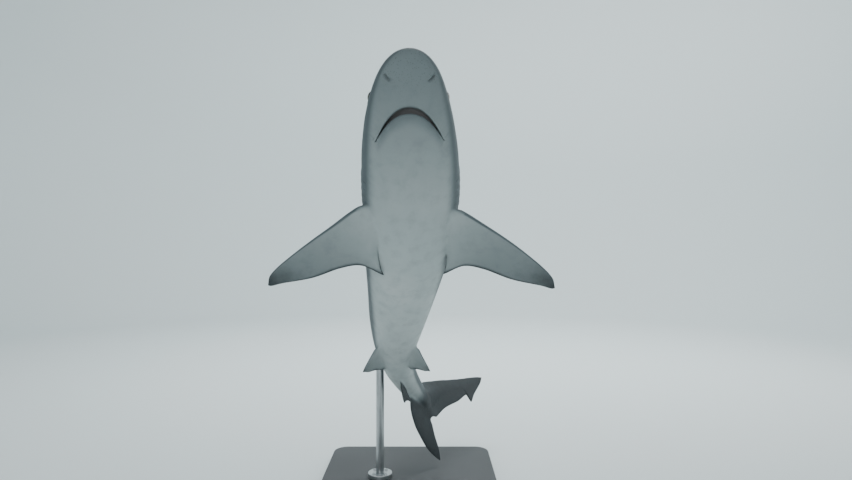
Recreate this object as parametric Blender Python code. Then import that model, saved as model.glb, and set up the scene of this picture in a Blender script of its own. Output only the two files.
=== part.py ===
"""A grey reef shark at life size, gliding upwards with its tail swung to its left, on a display stand.

The body is a loft along a bent centreline and is parted by thin cuts into its named lengths.
The fins are foils between a leading and a trailing edge, cut back to the body's surface.
Stations, half-widths and heights are fractions of the total length; everything else is in metres.
"""

import math

import bmesh
import bpy
import numpy as np
from mathutils import Matrix, Vector

LENGTH = 1.60  # snout tip to the tip of the tail, along the centreline
GAP = 0.0003  # between touching pieces

# The pose: where the snout tip is above the base's centre, and how the head lies.
SNOUT_TIP = Vector((0.0223, -0.575, 1.078))
PITCH, YAW, ROLL = math.radians(45.2), math.radians(3.5), math.radians(8.1)
# The tail's heading at each station, in degrees to the shark's left.
BEND = ((0, -1.0), (0.15, 3.0), (0.30, -3.3), (0.42, -5.2), (0.50, -3.0), (0.57, 4.5), (0.64, 16.0),
        (0.71, 22.0), (0.78, 31.0), (0.85, 55.0), (1.0, 55.0))
# How far the body is twisted about its centreline at each station, in degrees, left side down.
TWIST = ((0, 8), (0.12, 8), (0.22, 10), (0.33, 10), (0.50, 0), (1, 0))

# The body's sections: station, half-width, height above and depth below the centreline.
SECTIONS = (
    (0.000, 0.0000, 0.0000, 0.0000),
    (0.008, 0.0200, 0.0090, 0.0085),
    (0.030, 0.0355, 0.0175, 0.0150),
    (0.065, 0.0475, 0.0290, 0.0225),
    (0.100, 0.0553, 0.0400, 0.0310),
    (0.150, 0.0620, 0.0520, 0.0430),
    (0.210, 0.0651, 0.0620, 0.0540),
    (0.300, 0.0634, 0.0700, 0.0620),
    (0.350, 0.0583, 0.0710, 0.0630),
    (0.420, 0.0508, 0.0660, 0.0580),
    (0.480, 0.0444, 0.0580, 0.0510),
    (0.540, 0.0364, 0.0495, 0.0430),
    (0.600, 0.0287, 0.0400, 0.0345),
    (0.660, 0.0234, 0.0315, 0.0270),
    (0.710, 0.0194, 0.0260, 0.0225),
    (0.760, 0.0150, 0.0225, 0.0205),
)
BACK_ROUNDNESS = 2.1  # a superellipse's power; 2 is an ellipse
BELLY_ROUNDNESS = ((0, 2.2), (0.06, 2.6), (0.2, 2.4), (0.45, 2.2), (0.8, 2.0))
ROUND_STEPS = 34  # points around a section
# The body's lengths: name, first and last station, and the steps between them.
LENGTHS = (
    ("head", 0.0, 0.160, 15),
    ("gill_region", 0.160, 0.232, 4),
    ("trunk_front", 0.232, 0.360, 6),
    ("trunk_rear", 0.360, 0.500, 7),
    ("tail_base", 0.500, 0.620, 8),
    ("tail_stock", 0.620, 0.748, 9),
)

# The mouth's arch, seen from below, and the jaw behind it.
MOUTH_FRONT, MOUTH_CORNER, MOUTH_HALF_WIDTH = 0.061, 0.106, 0.041
MOUTH_ARCH_POWER = 2.2
MOUTH_STEPS = 20
JAW_REAR = 0.128
JAW_TOP, MOUTH_ROOF = -0.008, -0.006
MOUTH_OPENING = 0.007  # how far the lower lip lies behind the upper one

EYE_STATION, EYE_HEIGHT, EYE_DEPTH, EYE_RADIUS = 0.070, 0.012, 0.0096, 0.0098
NOSTRIL_STATION, NOSTRIL_SIDE, NOSTRIL_RADIUS = 0.030, 0.0265, 0.0040

GILL_STATIONS = (0.172, 0.184, 0.196, 0.2075, 0.218)
GILL_LOW, GILL_HIGH, GILL_DEPTH, GILL_WIDTH = -0.026, 0.020, 0.006, 0.0010

# Fins: a leading and a trailing edge, each through points of station and height (or reach), which
# start inside the body and end at the tip. The root is thicker, and fairs into the foil over a
# share of the fin's reach.
DORSAL_FIRST = {
    "lead": ((0.285, 0.048), (0.308, 0.082), (0.342, 0.136), (0.372, 0.166), (0.389, 0.174)),
    "trail": ((0.385, 0.045), (0.392, 0.069), (0.428, 0.075), (0.427, 0.080), (0.396, 0.104),
              (0.387, 0.145), (0.393, 0.171), (0.389, 0.174)),
    "thickness": 0.0120,
    "root_thickness": 0.0170,
    "fairing": 0.07,
}
DORSAL_SECOND = {
    "lead": ((0.622, 0.020), (0.636, 0.042), (0.652, 0.058), (0.664, 0.063), (0.669, 0.0625)),
    "trail": ((0.664, 0.018), (0.668, 0.0305), (0.704, 0.034), (0.704, 0.037), (0.680, 0.046),
              (0.670, 0.057), (0.671, 0.0615), (0.669, 0.0625)),
    "thickness": 0.0050,
    "root_thickness": 0.0070,
    "fairing": 0.08,
}
ANAL_FIN = {
    "lead": ((0.603, -0.018), (0.617, -0.035), (0.634, -0.0495), (0.645, -0.0555), (0.650, -0.056)),
    "trail": ((0.650, -0.014), (0.655, -0.0265), (0.690, -0.0335), (0.690, -0.0362), (0.673, -0.0415),
              (0.6595, -0.0490), (0.6545, -0.0546), (0.650, -0.056)),
    "thickness": 0.0050,
    "root_thickness": 0.0070,
    "fairing": 0.08,
}
# A paired fin reaches outwards from its root; it turns about its origin by its droop, its sweep and
# its pitch, which sets the rear of the fin lower than the front.
PECTORAL = {
    "lead": ((-0.0156, -0.030), (-0.0057, 0.010), (0.019, 0.0525), (0.051, 0.101), (0.083, 0.1395),
             (0.100, 0.146)),
    "trail": ((0.048, -0.024), (0.060, -0.0075), (0.0995, -0.0085), (0.107, -0.0104), (0.087, 0.0185),
              (0.087, 0.046), (0.097, 0.086), (0.100, 0.128), (0.102, 0.142), (0.100, 0.146)),
    "thickness": 0.0140,
    "root_thickness": 0.0190,
    "fairing": 0.07,
}
# For each side: the fin's origin, and its droop, sweep and pitch in degrees.
PECTORAL_SET = {"left": ((0.2133, 0.0506, -0.0308), 17.5, -8.8, 5.2),
                "right": ((0.2108, 0.0580, -0.0325), 7.4, 6.4, 16.6)}
PELVIC = {
    "lead": ((-0.007, -0.018), (0.0035, 0.0045), (0.0145, 0.0158), (0.031, 0.0327), (0.0377, 0.038)),
    "trail": ((0.046, -0.020), (0.056, -0.010), (0.074, -0.0095), (0.074, -0.0065), (0.0586, 0.009),
              (0.0472, 0.0275), (0.0419, 0.0328), (0.0377, 0.038)),
    "thickness": 0.0060,
    "root_thickness": 0.0090,
    "fairing": 0.1,
}
PELVIC_SET = {"left": ((0.5094, 0.0292, -0.0330), 52.4, -1.2, 8.0),
              "right": ((0.5032, 0.0327, -0.0286), 34.8, 0.3, 5.4)}

CAUDAL_ROOT = 0.748
CAUDAL_UPPER = {
    "lead": ((0.748, 0.0225), (0.760, 0.0370), (0.780, 0.0520), (0.830, 0.0750), (0.877, 0.0890),
             (0.925, 0.1040), (0.963, 0.1160), (0.980, 0.1190)),
    "trail": ((0.748, -0.0205), (0.770, -0.0240), (0.793, -0.0270), (0.842, 0.0120), (0.883, 0.0360),
              (0.919, 0.0600), (0.923, 0.0425), (0.940, 0.0660), (0.971, 0.1030), (0.980, 0.1190)),
    "thickness": 0.0080,
    "root_thickness": 0.0290,
    "fairing": 0.2,
    "rows": 18,
}
CAUDAL_LOWER = {
    "lead": ((0.679, -0.008), (0.697, -0.0397), (0.727, -0.058), (0.761, -0.070), (0.7945, -0.082),
             (0.8255, -0.092)),
    "trail": ((0.799, -0.008), (0.794, -0.028), (0.8045, -0.047), (0.820, -0.0706), (0.826, -0.0898),
              (0.8255, -0.092)),
    "thickness": 0.0070,
    "root_thickness": 0.0080,
    "fairing": 0.06,
}
LOBE_GAP = 0.0008  # between the two lobes of the tail, measured up and down
# How far the lower fins trail the swing of the tail: a lean to the shark's right, below a height.
LEAN_FROM = -0.018
ANAL_LEAN, LOWER_LOBE_LEAN = math.radians(12), math.radians(21.5)
FIN_ROWS, FIN_AROUND = 10, 16
FIN_EDGE = 0.00035  # half the thickness kept along a fin's edges, in metres
FOIL_SCALE = 2.6  # makes the foil's greatest thickness 1

# The stand: a flat base and one post, which bends forward into the back behind the dorsal fin.
BASE_SIZE = (0.52, 0.92, 0.030)
BASE_CORNER, BASE_BEVEL = 0.045, 0.004
POST_RADIUS = 0.0120
POST_FOOT = Vector((-0.088, 0.190, 0.0))
POST_HEIGHT, POST_BEND_RADIUS = 0.578, 0.070
POST_STATION = 0.480
FLANGE_RADIUS, FLANGE_HEIGHT = 0.036, 0.012


def clear_scene():
    for obj in list(bpy.data.objects):
        bpy.data.objects.remove(obj)


def material(name, colour, roughness, metallic=0.0):
    made = bpy.data.materials.new(name)
    made.use_nodes = True
    shader = made.node_tree.nodes["Principled BSDF"]
    shader.inputs["Base Color"].default_value = (*colour, 1)
    shader.inputs["Roughness"].default_value = roughness
    shader.inputs["Metallic"].default_value = metallic
    return made


def hermite(knots, points, slopes):
    """The cubic through points at knots with the given slopes, as a function of one number."""
    def at(x):
        i = int(np.clip(np.searchsorted(knots, x) - 1, 0, len(knots) - 2))
        h = knots[i + 1] - knots[i]
        t = (x - knots[i]) / h
        start, end = (1 + 2 * t) * (1 - t) ** 2, t * t * (3 - 2 * t)
        leave, arrive = t * (1 - t) ** 2 * h, t * t * (t - 1) * h
        return start * points[i] + leave * slopes[i] + end * points[i + 1] + arrive * slopes[i + 1]
    return at


def even_curve(rows):
    """A curve through (x, value) rows that never bulges past them."""
    x, y = np.array(rows, float).T
    rise = np.diff(y) / np.diff(x)
    slopes = np.zeros(len(x))
    slopes[0], slopes[-1] = rise[0], rise[-1]
    for i in range(1, len(x) - 1):
        if rise[i - 1] * rise[i] > 0:
            slopes[i] = 2 * rise[i - 1] * rise[i] / (rise[i - 1] + rise[i])
    return hermite(x, y, slopes)


def edge_curve(points):
    """A smooth curve through the points, run from 0 to 1 along its length."""
    points = np.array(points, float)
    steps = np.linalg.norm(np.diff(points, axis=0), axis=1) ** 0.5
    knots = np.concatenate([[0], np.cumsum(steps)]) / steps.sum()
    rise = np.diff(points, axis=0) / np.diff(knots)[:, None]
    slopes = np.vstack([rise[:1], (rise[:-1] + rise[1:]) / 2, rise[-1:]])
    return hermite(knots, points, slopes)


HEADING = Vector((math.sin(YAW) * math.cos(PITCH), -math.cos(YAW) * math.cos(PITCH), math.sin(PITCH)))
LEVEL_LEFT = Vector((math.cos(YAW), math.sin(YAW), 0))
LEVEL_UP = HEADING.cross(LEVEL_LEFT)
LEFT = math.cos(ROLL) * LEVEL_LEFT + math.sin(ROLL) * LEVEL_UP
UP = HEADING.cross(LEFT)
BODY_TURN = Matrix((HEADING, LEFT, UP)).transposed()

SPINE_STATIONS = np.linspace(0, 1, 401)
bend_at, twist_at = even_curve(BEND), even_curve(TWIST)
SPINE_TURN = np.radians([bend_at(s) for s in SPINE_STATIONS])


def run_along(values):
    """The running total of a value along the spine, in fractions of the length."""
    return np.concatenate([[0], np.cumsum((values[1:] + values[:-1]) / 2 * SPINE_STATIONS[1])])


SPINE_BACK, SPINE_SIDE = run_along(np.cos(SPINE_TURN)), run_along(np.sin(SPINE_TURN))


def place(station, side, height):
    """The point at this station, this far to the left and this high, all in fractions of the length."""
    turn, back, left = (float(np.interp(station, SPINE_STATIONS, values))
                        for values in (SPINE_TURN, SPINE_BACK, SPINE_SIDE))
    twist = math.radians(twist_at(min(max(station, 0.0), 1.0)))
    side, height = (side * math.cos(twist) + height * math.sin(twist),
                    height * math.cos(twist) - side * math.sin(twist))
    offset = Vector((side * math.sin(turn) - back, left + side * math.cos(turn), height))
    return SNOUT_TIP + BODY_TURN @ offset * LENGTH


# Half-widths and heights follow the root of the station, which makes the snout round.
half_width_at = even_curve([(s[0] ** 0.5, s[1]) for s in SECTIONS])
height_at = even_curve([(s[0] ** 0.5, s[2]) for s in SECTIONS])
depth_at = even_curve([(s[0] ** 0.5, s[3]) for s in SECTIONS])
belly_roundness_at = even_curve(BELLY_ROUNDNESS)


def section_point(station, turn, grow=0.0):
    """A point of the body's section: turn runs from 0 to 1 from the left side over the back."""
    root = station ** 0.5
    c, s = math.cos(2 * math.pi * turn), math.sin(2 * math.pi * turn)
    power = BACK_ROUNDNESS if s >= 0 else belly_roundness_at(station)
    tall = height_at(root) if s >= 0 else depth_at(root)
    side = math.copysign(abs(c) ** (2 / power), c) * (half_width_at(root) + grow)
    return side, math.copysign(abs(s) ** (2 / power), s) * (tall + grow)


def wrapped_grid(name, rows, around, point_at):
    """A grid wrapped into a closed tube: point_at(along, turn) gives each point; the ends are filled."""
    bm = bmesh.new()
    bmesh.ops.create_grid(bm, x_segments=rows, y_segments=around, size=0.5)
    for vert in bm.verts:
        vert.co = point_at(vert.co.x + 0.5, (vert.co.y + 0.5) % 1)
    bmesh.ops.remove_doubles(bm, verts=bm.verts, dist=1e-6)
    bmesh.ops.dissolve_degenerate(bm, edges=bm.edges, dist=1e-6)
    bmesh.ops.holes_fill(bm, edges=[e for e in bm.edges if e.is_boundary], sides=0)
    return finished(name, bm)


def finished(name, bm, skin=None):
    """An object from a bmesh, with its faces turned outwards."""
    bmesh.ops.recalc_face_normals(bm, faces=bm.faces)
    if bm.calc_volume(signed=True) < 0:
        bmesh.ops.reverse_faces(bm, faces=bm.faces)
    mesh = bpy.data.meshes.new(name)
    bm.to_mesh(mesh)
    bm.free()
    mesh.shade_smooth()
    mesh.set_sharp_from_angle(angle=math.radians(40))
    obj = bpy.data.objects.new(name, mesh)
    bpy.context.scene.collection.objects.link(obj)
    if skin:
        mesh.materials.append(skin)
    return obj


def as_cutter(obj):
    obj.hide_render = True
    obj.display_type = "WIRE"
    return obj


def combine(obj, cutter, operation="DIFFERENCE"):
    modifier = obj.modifiers.new(f"{operation.lower()} {cutter.name}", "BOOLEAN")
    modifier.operation = operation
    modifier.solver = "EXACT"
    modifier.object = cutter


def body_length(name, first, last, steps, grow=0.0):
    """A length of the body, closed at both ends, or a grown copy of it to cut with."""
    start = first + GAP / 2 / LENGTH if first else 0.0
    end = last - GAP / 2 / LENGTH

    def point_at(along, turn):
        station = start + (end - start) * (along ** 2 if first == 0 else along)
        return place(station, *section_point(station, turn, grow / LENGTH if station else 0.0))
    return wrapped_grid(name, steps, ROUND_STEPS, point_at)


def fin(name, edges, to_body, sideways, grow=0.0):
    """A foil between two edges. to_body turns an edge point into station, side and height."""
    lead, trail = edge_curve(edges["lead"]), edge_curve(edges["trail"])
    grow = grow / LENGTH

    def point_at(along, turn):
        across = (1 - math.cos(2 * math.pi * turn)) / 2
        front, rear = lead(along), trail(along)
        chord = rear - front
        outwards = chord / max(np.linalg.norm(chord), 1e-9) * grow * (2 * across - 1)
        foil = FOIL_SCALE * across ** 0.5 * (1 - across) * (1 - along) ** 0.8
        rooted = math.exp(-along / edges["fairing"])
        half = edges["thickness"] / 2 * foil * (1 - rooted)
        half += edges["root_thickness"] / 2 * abs(math.sin(2 * math.pi * turn)) * rooted
        rim = min(1.0, 12 * across, 12 * (1 - across)) ** 0.5 * (along < 1)
        half += (FIN_EDGE / LENGTH + grow) * rim
        half = math.copysign(half, math.sin(2 * math.pi * turn))
        return place(*(Vector(to_body(*(front + chord * across + outwards))) + half * sideways))
    return wrapped_grid(name, edges.get("rows", FIN_ROWS), FIN_AROUND, point_at)


def upright(station, height):
    return station, 0.0, height


def leaning(angle):
    """For a fin under the body: from an edge point to the body, leaning to the shark's right."""
    def to_body(station, height):
        return station, min(0.0, height - LEAN_FROM) * math.tan(angle), height
    return to_body


def behind_root(station, height):
    return station + GAP / LENGTH, 0.0, height


def paired(setting, hand):
    """For a paired fin: from its own back and out distances to the body, and its sideways direction."""
    origin, (droop, sweep, pitch) = setting[0], (math.radians(angle) for angle in setting[1:])
    out = Vector((0, hand * math.cos(droop), -math.sin(droop)))
    over = Vector((0, hand * math.sin(droop), math.cos(droop)))
    back = Vector((math.cos(pitch), 0, 0)) - over * math.sin(pitch)
    swept_out = out * math.cos(sweep) + back * math.sin(sweep)
    swept_back = back * math.cos(sweep) - out * math.sin(sweep)
    root = Vector((origin[0], hand * origin[1], origin[2]))

    def to_body(backwards, outwards):
        return root + float(backwards) * swept_back + float(outwards) * swept_out
    return to_body, over


def mouth_outline(inset, rear):
    """The arch of the mouth as (station, side) points, closed by a straight line behind."""
    points = []
    for i in range(-MOUTH_STEPS, MOUTH_STEPS + 1):
        across = i / MOUTH_STEPS
        arch = MOUTH_FRONT + (MOUTH_CORNER - MOUTH_FRONT) * abs(across) ** MOUTH_ARCH_POWER
        setback = inset * (1 - across ** 2)
        points.append((arch + setback, across * MOUTH_HALF_WIDTH))
    half = MOUTH_HALF_WIDTH
    return [(rear, -half), *points, (rear, half)]


def mouth_block(name, inset, shrink, rear, roof):
    """A block with the mouth's outline, from under the head up to the roof of the mouth."""
    bm = bmesh.new()
    low = 2 * depth_at(JAW_REAR ** 0.5)
    outline = [(s, y * (1 - shrink)) for s, y in mouth_outline(inset, rear)]
    face = bm.faces.new([bm.verts.new(place(s, y, -low)) for s, y in outline])
    lifted = bmesh.ops.extrude_face_region(bm, geom=[face])["geom"]
    top = [item for item in lifted if isinstance(item, bmesh.types.BMVert)]
    bmesh.ops.translate(bm, verts=top, vec=UP * (roof + low) * LENGTH)
    return as_cutter(finished(name, bm))


def ball(name, centre, radius, segments=16):
    bm = bmesh.new()
    bmesh.ops.create_uvsphere(bm, u_segments=segments, v_segments=segments // 2, radius=radius,
                              matrix=Matrix.Translation(centre))
    return finished(name, bm)


def make_body(skin):
    parts = {}
    for name, first, last, steps in LENGTHS:
        parts[name] = body_length(name, first, last, steps)
        parts[name].data.materials.append(skin)
    return parts


def make_mouth(head, skin):
    """Opens the head above the mouth and sets the lower jaw into it."""
    jaw = body_length("lower_jaw", *LENGTHS[0][1:])
    jaw.data.materials.append(skin)
    combine(head, mouth_block("mouth_opening", 0.0, 0.0, JAW_REAR + GAP / LENGTH, MOUTH_ROOF))
    side_gap = GAP / LENGTH / MOUTH_HALF_WIDTH
    combine(jaw, mouth_block("jaw_block", MOUTH_OPENING, side_gap, JAW_REAR, JAW_TOP), "INTERSECT")


def make_eyes(head, glass):
    side = half_width_at(EYE_STATION ** 0.5) - EYE_DEPTH
    for name, hand in (("eye_left", 1), ("eye_right", -1)):
        centre = place(EYE_STATION, hand * side, EYE_HEIGHT)
        ball(name, centre, EYE_RADIUS * LENGTH).data.materials.append(glass)
        combine(head, as_cutter(ball(f"{name}_socket", centre, EYE_RADIUS * LENGTH + GAP)))


def make_nostrils(head):
    depth = depth_at(NOSTRIL_STATION ** 0.5)
    for name, hand in (("nostril_left", 1), ("nostril_right", -1)):
        centre = place(NOSTRIL_STATION, hand * NOSTRIL_SIDE, -depth * 0.6)
        combine(head, as_cutter(ball(name, centre, NOSTRIL_RADIUS * LENGTH, 12)))


def make_gills(region):
    """Five slits on each side, as thin curved-in cuts square to the flank."""
    for name, hand in (("gills_left", 1), ("gills_right", -1)):
        bm = bmesh.new()
        for station in GILL_STATIONS:
            side = hand * half_width_at(station ** 0.5)
            low, high = place(station, side, GILL_LOW), place(station, side, GILL_HIGH)
            inwards = (place(station, 0, 0) - place(station, side, 0)).normalized()
            slit = bmesh.ops.create_cube(bm, size=1.0)["verts"]
            turn = Matrix((inwards, UP, inwards.cross(UP))).transposed().to_4x4()
            size = Matrix.Diagonal((2 * GILL_DEPTH * LENGTH, (high - low).length, GILL_WIDTH, 1))
            move = Matrix.Translation((low + high) / 2)
            bmesh.ops.transform(bm, matrix=move @ turn @ size, verts=slit)
        combine(region, as_cutter(finished(name, bm)))


def make_fins(whole, skin):
    """All the fins, cut back to the body's surface with the gap that touching pieces keep."""
    sideways = Vector((0, 1, 0))
    made = [
        fin("dorsal_fin_first", DORSAL_FIRST, upright, sideways),
        fin("dorsal_fin_second", DORSAL_SECOND, upright, sideways),
        fin("anal_fin", ANAL_FIN, leaning(ANAL_LEAN), sideways),
        fin("caudal_lower_lobe", CAUDAL_LOWER, leaning(LOWER_LOBE_LEAN), sideways),
    ]
    for side, hand in (("left", 1), ("right", -1)):
        made.append(fin(f"pectoral_fin_{side}", PECTORAL, *paired(PECTORAL_SET[side], hand)))
        made.append(fin(f"pelvic_fin_{side}", PELVIC, *paired(PELVIC_SET[side], hand)))
    for one in made:
        combine(one, whole)
    upper = fin("caudal_upper_lobe", CAUDAL_UPPER, behind_root, sideways)
    lowered = [(station, height - LOBE_GAP / LENGTH) for station, height in CAUDAL_UPPER["trail"]]
    grown = fin("upper_lobe_grown", {**CAUDAL_UPPER, "trail": lowered}, behind_root, sideways, GAP)
    combine(made[3], as_cutter(grown))
    for one in (*made, upper):
        one.data.materials.append(skin)


def make_base(paint):
    """A flat plate with round corners and a softened upper edge."""
    bm = bmesh.new()
    size = Matrix.Diagonal((*BASE_SIZE, 1))
    bmesh.ops.create_cube(bm, size=1.0, matrix=Matrix.Translation((0, 0, BASE_SIZE[2] / 2)) @ size)
    upright_edges = [e for e in bm.edges if abs(e.verts[0].co.z - e.verts[1].co.z) > GAP]
    bmesh.ops.bevel(bm, geom=upright_edges, offset=BASE_CORNER, segments=8, profile=0.5,
                    affect="EDGES", material=-1)
    rim = [e for e in bm.edges if all(v.co.z > BASE_SIZE[2] - GAP for v in e.verts)]
    bmesh.ops.bevel(bm, geom=rim, offset=BASE_BEVEL, segments=2, profile=0.5, affect="EDGES",
                    material=-1)
    finished("stand_base", bm, paint)


def make_post(whole, steel):
    """The post: straight up from the base, round a bend, and forward into the back."""
    bm = bmesh.new()
    foot = POST_FOOT + Vector((0, 0, BASE_SIZE[2] + GAP))
    inside = place(POST_STATION, 0, 0)
    forward = Vector((inside.x - foot.x, inside.y - foot.y, 0))
    reach = forward.length - POST_BEND_RADIUS
    forward.normalize()
    bend_start = Vector((foot.x, foot.y, POST_HEIGHT - POST_BEND_RADIUS))

    def edges_of(geometry):
        return [item for item in geometry if isinstance(item, bmesh.types.BMEdge)]

    def lengthen(edges, offset):
        grown = bmesh.ops.extrude_edge_only(bm, edges=edges)["geom"]
        verts = [item for item in grown if isinstance(item, bmesh.types.BMVert)]
        bmesh.ops.translate(bm, verts=verts, vec=offset)
        return edges_of(grown)

    bmesh.ops.create_circle(bm, segments=24, radius=POST_RADIUS, matrix=Matrix.Translation(foot))
    top = lengthen(list(bm.edges), bend_start - foot)
    bent = bmesh.ops.spin(bm, geom=top, cent=bend_start + forward * POST_BEND_RADIUS,
                          axis=Vector((0, 0, 1)).cross(forward), angle=math.pi / 2, steps=8)
    lengthen(edges_of(bent["geom_last"]), forward * reach)
    bmesh.ops.remove_doubles(bm, verts=bm.verts, dist=1e-6)
    bmesh.ops.holes_fill(bm, edges=[e for e in bm.edges if e.is_boundary], sides=0)
    combine(finished("stand_post", bm, steel), whole)


def make_flange(steel):
    """The flat ring that the post stands in."""
    bm = bmesh.new()
    foot = Matrix.Translation(POST_FOOT + Vector((0, 0, BASE_SIZE[2] + GAP)))
    outer = bmesh.ops.create_circle(bm, segments=32, radius=FLANGE_RADIUS, matrix=foot)["verts"]
    inner = bmesh.ops.create_circle(bm, segments=32, radius=POST_RADIUS + GAP, matrix=foot)["verts"]
    edges = list({e for v in (*outer, *inner) for e in v.link_edges})
    ring = bmesh.ops.bridge_loops(bm, edges=edges)["faces"]
    lifted = bmesh.ops.extrude_face_region(bm, geom=ring, use_keep_orig=True)["geom"]
    verts = [item for item in lifted if isinstance(item, bmesh.types.BMVert)]
    bmesh.ops.translate(bm, verts=verts, vec=Vector((0, 0, FLANGE_HEIGHT)))
    finished("stand_flange", bm, steel)


def main():
    clear_scene()
    skin = material("shark skin", (0.36, 0.39, 0.38), 0.5)
    glass = material("eye", (0.05, 0.05, 0.04), 0.1)
    paint = material("base paint", (0.16, 0.17, 0.18), 0.6)
    steel = material("post steel", (0.55, 0.56, 0.57), 0.35, 1.0)
    whole = as_cutter(body_length("body_grown", 0.0, CAUDAL_ROOT + GAP / LENGTH, 60, GAP))
    body = make_body(skin)
    make_mouth(body["head"], skin)
    make_eyes(body["head"], glass)
    make_nostrils(body["head"])
    make_gills(body["gill_region"])
    make_fins(whole, skin)
    make_base(paint)
    make_post(whole, steel)
    make_flange(steel)


main()
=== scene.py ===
# %% [markdown]
# # A grey reef shark on a display stand
# This script dresses a packed set of plain solids as a life-size museum model. The solids give the
# sizes and the places; everything made here lies on them.

import math
from collections import namedtuple

import bmesh
import bpy
import numpy as np
from mathutils import Matrix, Vector, kdtree


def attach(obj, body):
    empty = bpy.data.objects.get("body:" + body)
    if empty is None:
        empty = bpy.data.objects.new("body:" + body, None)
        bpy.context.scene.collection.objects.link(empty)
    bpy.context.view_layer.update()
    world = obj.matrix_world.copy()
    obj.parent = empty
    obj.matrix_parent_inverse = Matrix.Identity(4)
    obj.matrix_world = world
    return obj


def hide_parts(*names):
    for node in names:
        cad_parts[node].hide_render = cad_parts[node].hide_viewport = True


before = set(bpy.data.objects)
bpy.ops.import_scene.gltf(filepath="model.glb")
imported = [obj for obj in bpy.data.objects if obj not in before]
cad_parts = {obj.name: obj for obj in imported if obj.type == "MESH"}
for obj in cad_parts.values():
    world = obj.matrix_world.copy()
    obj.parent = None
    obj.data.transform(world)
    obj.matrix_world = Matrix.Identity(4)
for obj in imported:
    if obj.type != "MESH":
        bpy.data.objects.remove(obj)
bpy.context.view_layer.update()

# %% [markdown]
# ## Camera
# The view is level and looks at the belly of a shark that rises steeply towards it. A camera object
# looks along its own -Z, so a quarter turn about X points it along +Y. A Track To constraint could
# aim it too, but a level view needs only that one turn.

# %% The camera
CAMERA_PLACE = (0.05, -1.66, 0.74)
CAMERA_LENS = 26.0

camera_data = bpy.data.cameras.new("camera")
camera_data.lens = CAMERA_LENS
camera = bpy.data.objects.new("camera", camera_data)
camera.location = CAMERA_PLACE
camera.rotation_euler = (math.pi / 2, 0, 0)
bpy.context.scene.collection.objects.link(camera)
bpy.context.scene.camera = camera
print("camera at", CAMERA_PLACE)

# %% [markdown]
# ## Smooth lines
# A shark is drawn from a few measured stations with smooth lines between them. Blender's own curves
# could hold these lines, but a curve object can't be asked for its height at a station. A cubic
# through the points can. With slopes that vanish at every peak it never bulges past the points,
# which suits a body; with plain average slopes it is rounder, which suits the edge of a fin.

# %% Curves through points
def hermite(knots, points, slopes):
    """The cubic through points at knots with the given slopes, as a function of an array."""
    def at(x):
        x = np.asarray(x, float)
        i = np.clip(np.searchsorted(knots, x) - 1, 0, len(knots) - 2)
        span = knots[i + 1] - knots[i]
        t = (x - knots[i]) / span
        if points.ndim > 1:
            span, t = span[..., None], t[..., None]
        start, end = (1 + 2 * t) * (1 - t) ** 2, t * t * (3 - 2 * t)
        leave, arrive = t * (1 - t) ** 2 * span, t * t * (t - 1) * span
        return start * points[i] + leave * slopes[i] + end * points[i + 1] + arrive * slopes[i + 1]
    return at


def even_curve(rows):
    """A curve through (x, value) rows that never bulges past them."""
    x, y = np.array(rows, float).T
    rise = np.diff(y) / np.diff(x)
    slopes = np.zeros(len(x))
    slopes[0], slopes[-1] = rise[0], rise[-1]
    for i in range(1, len(x) - 1):
        if rise[i - 1] * rise[i] > 0:
            slopes[i] = 2 * rise[i - 1] * rise[i] / (rise[i - 1] + rise[i])
    return hermite(x, y, slopes)


def edge_curve(points):
    """A round curve through the points, run from 0 to 1 along its length."""
    points = np.array(points, float)
    steps = np.linalg.norm(np.diff(points, axis=0), axis=1) ** 0.5
    knots = np.concatenate([[0], np.cumsum(steps)]) / steps.sum()
    rise = np.diff(points, axis=0) / np.diff(knots)[:, None]
    slopes = np.vstack([rise[:1], (rise[:-1] + rise[1:]) / 2, rise[-1:]])
    return hermite(knots, points, slopes)


def smooth_step(low, high, x):
    """0 below low and 1 above high, with a smooth rise between them."""
    t = np.clip((np.asarray(x, float) - low) / (high - low), 0, 1)
    return t * t * (3 - 2 * t)


def bump(x, width):
    """A bell-shaped rise at 0 of this half width."""
    return np.exp(-(x / width) ** 2)

# %% [markdown]
# ## The backbone
# Everything on a swimming shark follows its backbone, so a place on the body is told by three
# numbers: the station along the backbone, how far to the left, and how high. All three are shares
# of the total length. A straight shark could be bent afterwards by an armature or a Curve modifier,
# but the places of its eyes, fins and marks would then have to be found again. Here one function
# bends every point, and a second one turns a point back. The backbone bends sideways, and this one
# swings its tail to the left. Its front is also twisted a little, left side down, which is how a
# shark starts a turn.

# %% The bent backbone
LENGTH = 1.60
SNOUT_TIP = np.array((0.0223, -0.575, 1.078))
PITCH, YAW, ROLL = math.radians(45.2), math.radians(3.5), math.radians(8.1)
BEND = ((0, -1.0), (0.15, 3.0), (0.30, -3.3), (0.42, -5.2), (0.50, -3.0), (0.57, 4.5), (0.64, 16.0),
        (0.71, 22.0), (0.78, 31.0), (0.85, 55.0), (1.0, 55.0))
TWIST = ((0, 8), (0.12, 8), (0.22, 10), (0.33, 10), (0.50, 0), (1, 0))

HEADING = np.array((math.sin(YAW) * math.cos(PITCH), -math.cos(YAW) * math.cos(PITCH), math.sin(PITCH)))
LEVEL_LEFT = np.array((math.cos(YAW), math.sin(YAW), 0))
LEFT = math.cos(ROLL) * LEVEL_LEFT + math.sin(ROLL) * np.cross(HEADING, LEVEL_LEFT)
UP = np.cross(HEADING, LEFT)

SPINE_STATIONS = np.linspace(0, 1, 401)
SPINE_TURN = np.radians(even_curve(BEND)(SPINE_STATIONS))
SPINE_TWIST = np.radians(even_curve(TWIST)(SPINE_STATIONS))


def run_along(values):
    """The running total of a value along the backbone, in shares of the length."""
    return np.concatenate([[0], np.cumsum((values[1:] + values[:-1]) / 2 * SPINE_STATIONS[1])])


SPINE_BACK, SPINE_SIDE = run_along(np.cos(SPINE_TURN)), run_along(np.sin(SPINE_TURN))


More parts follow.
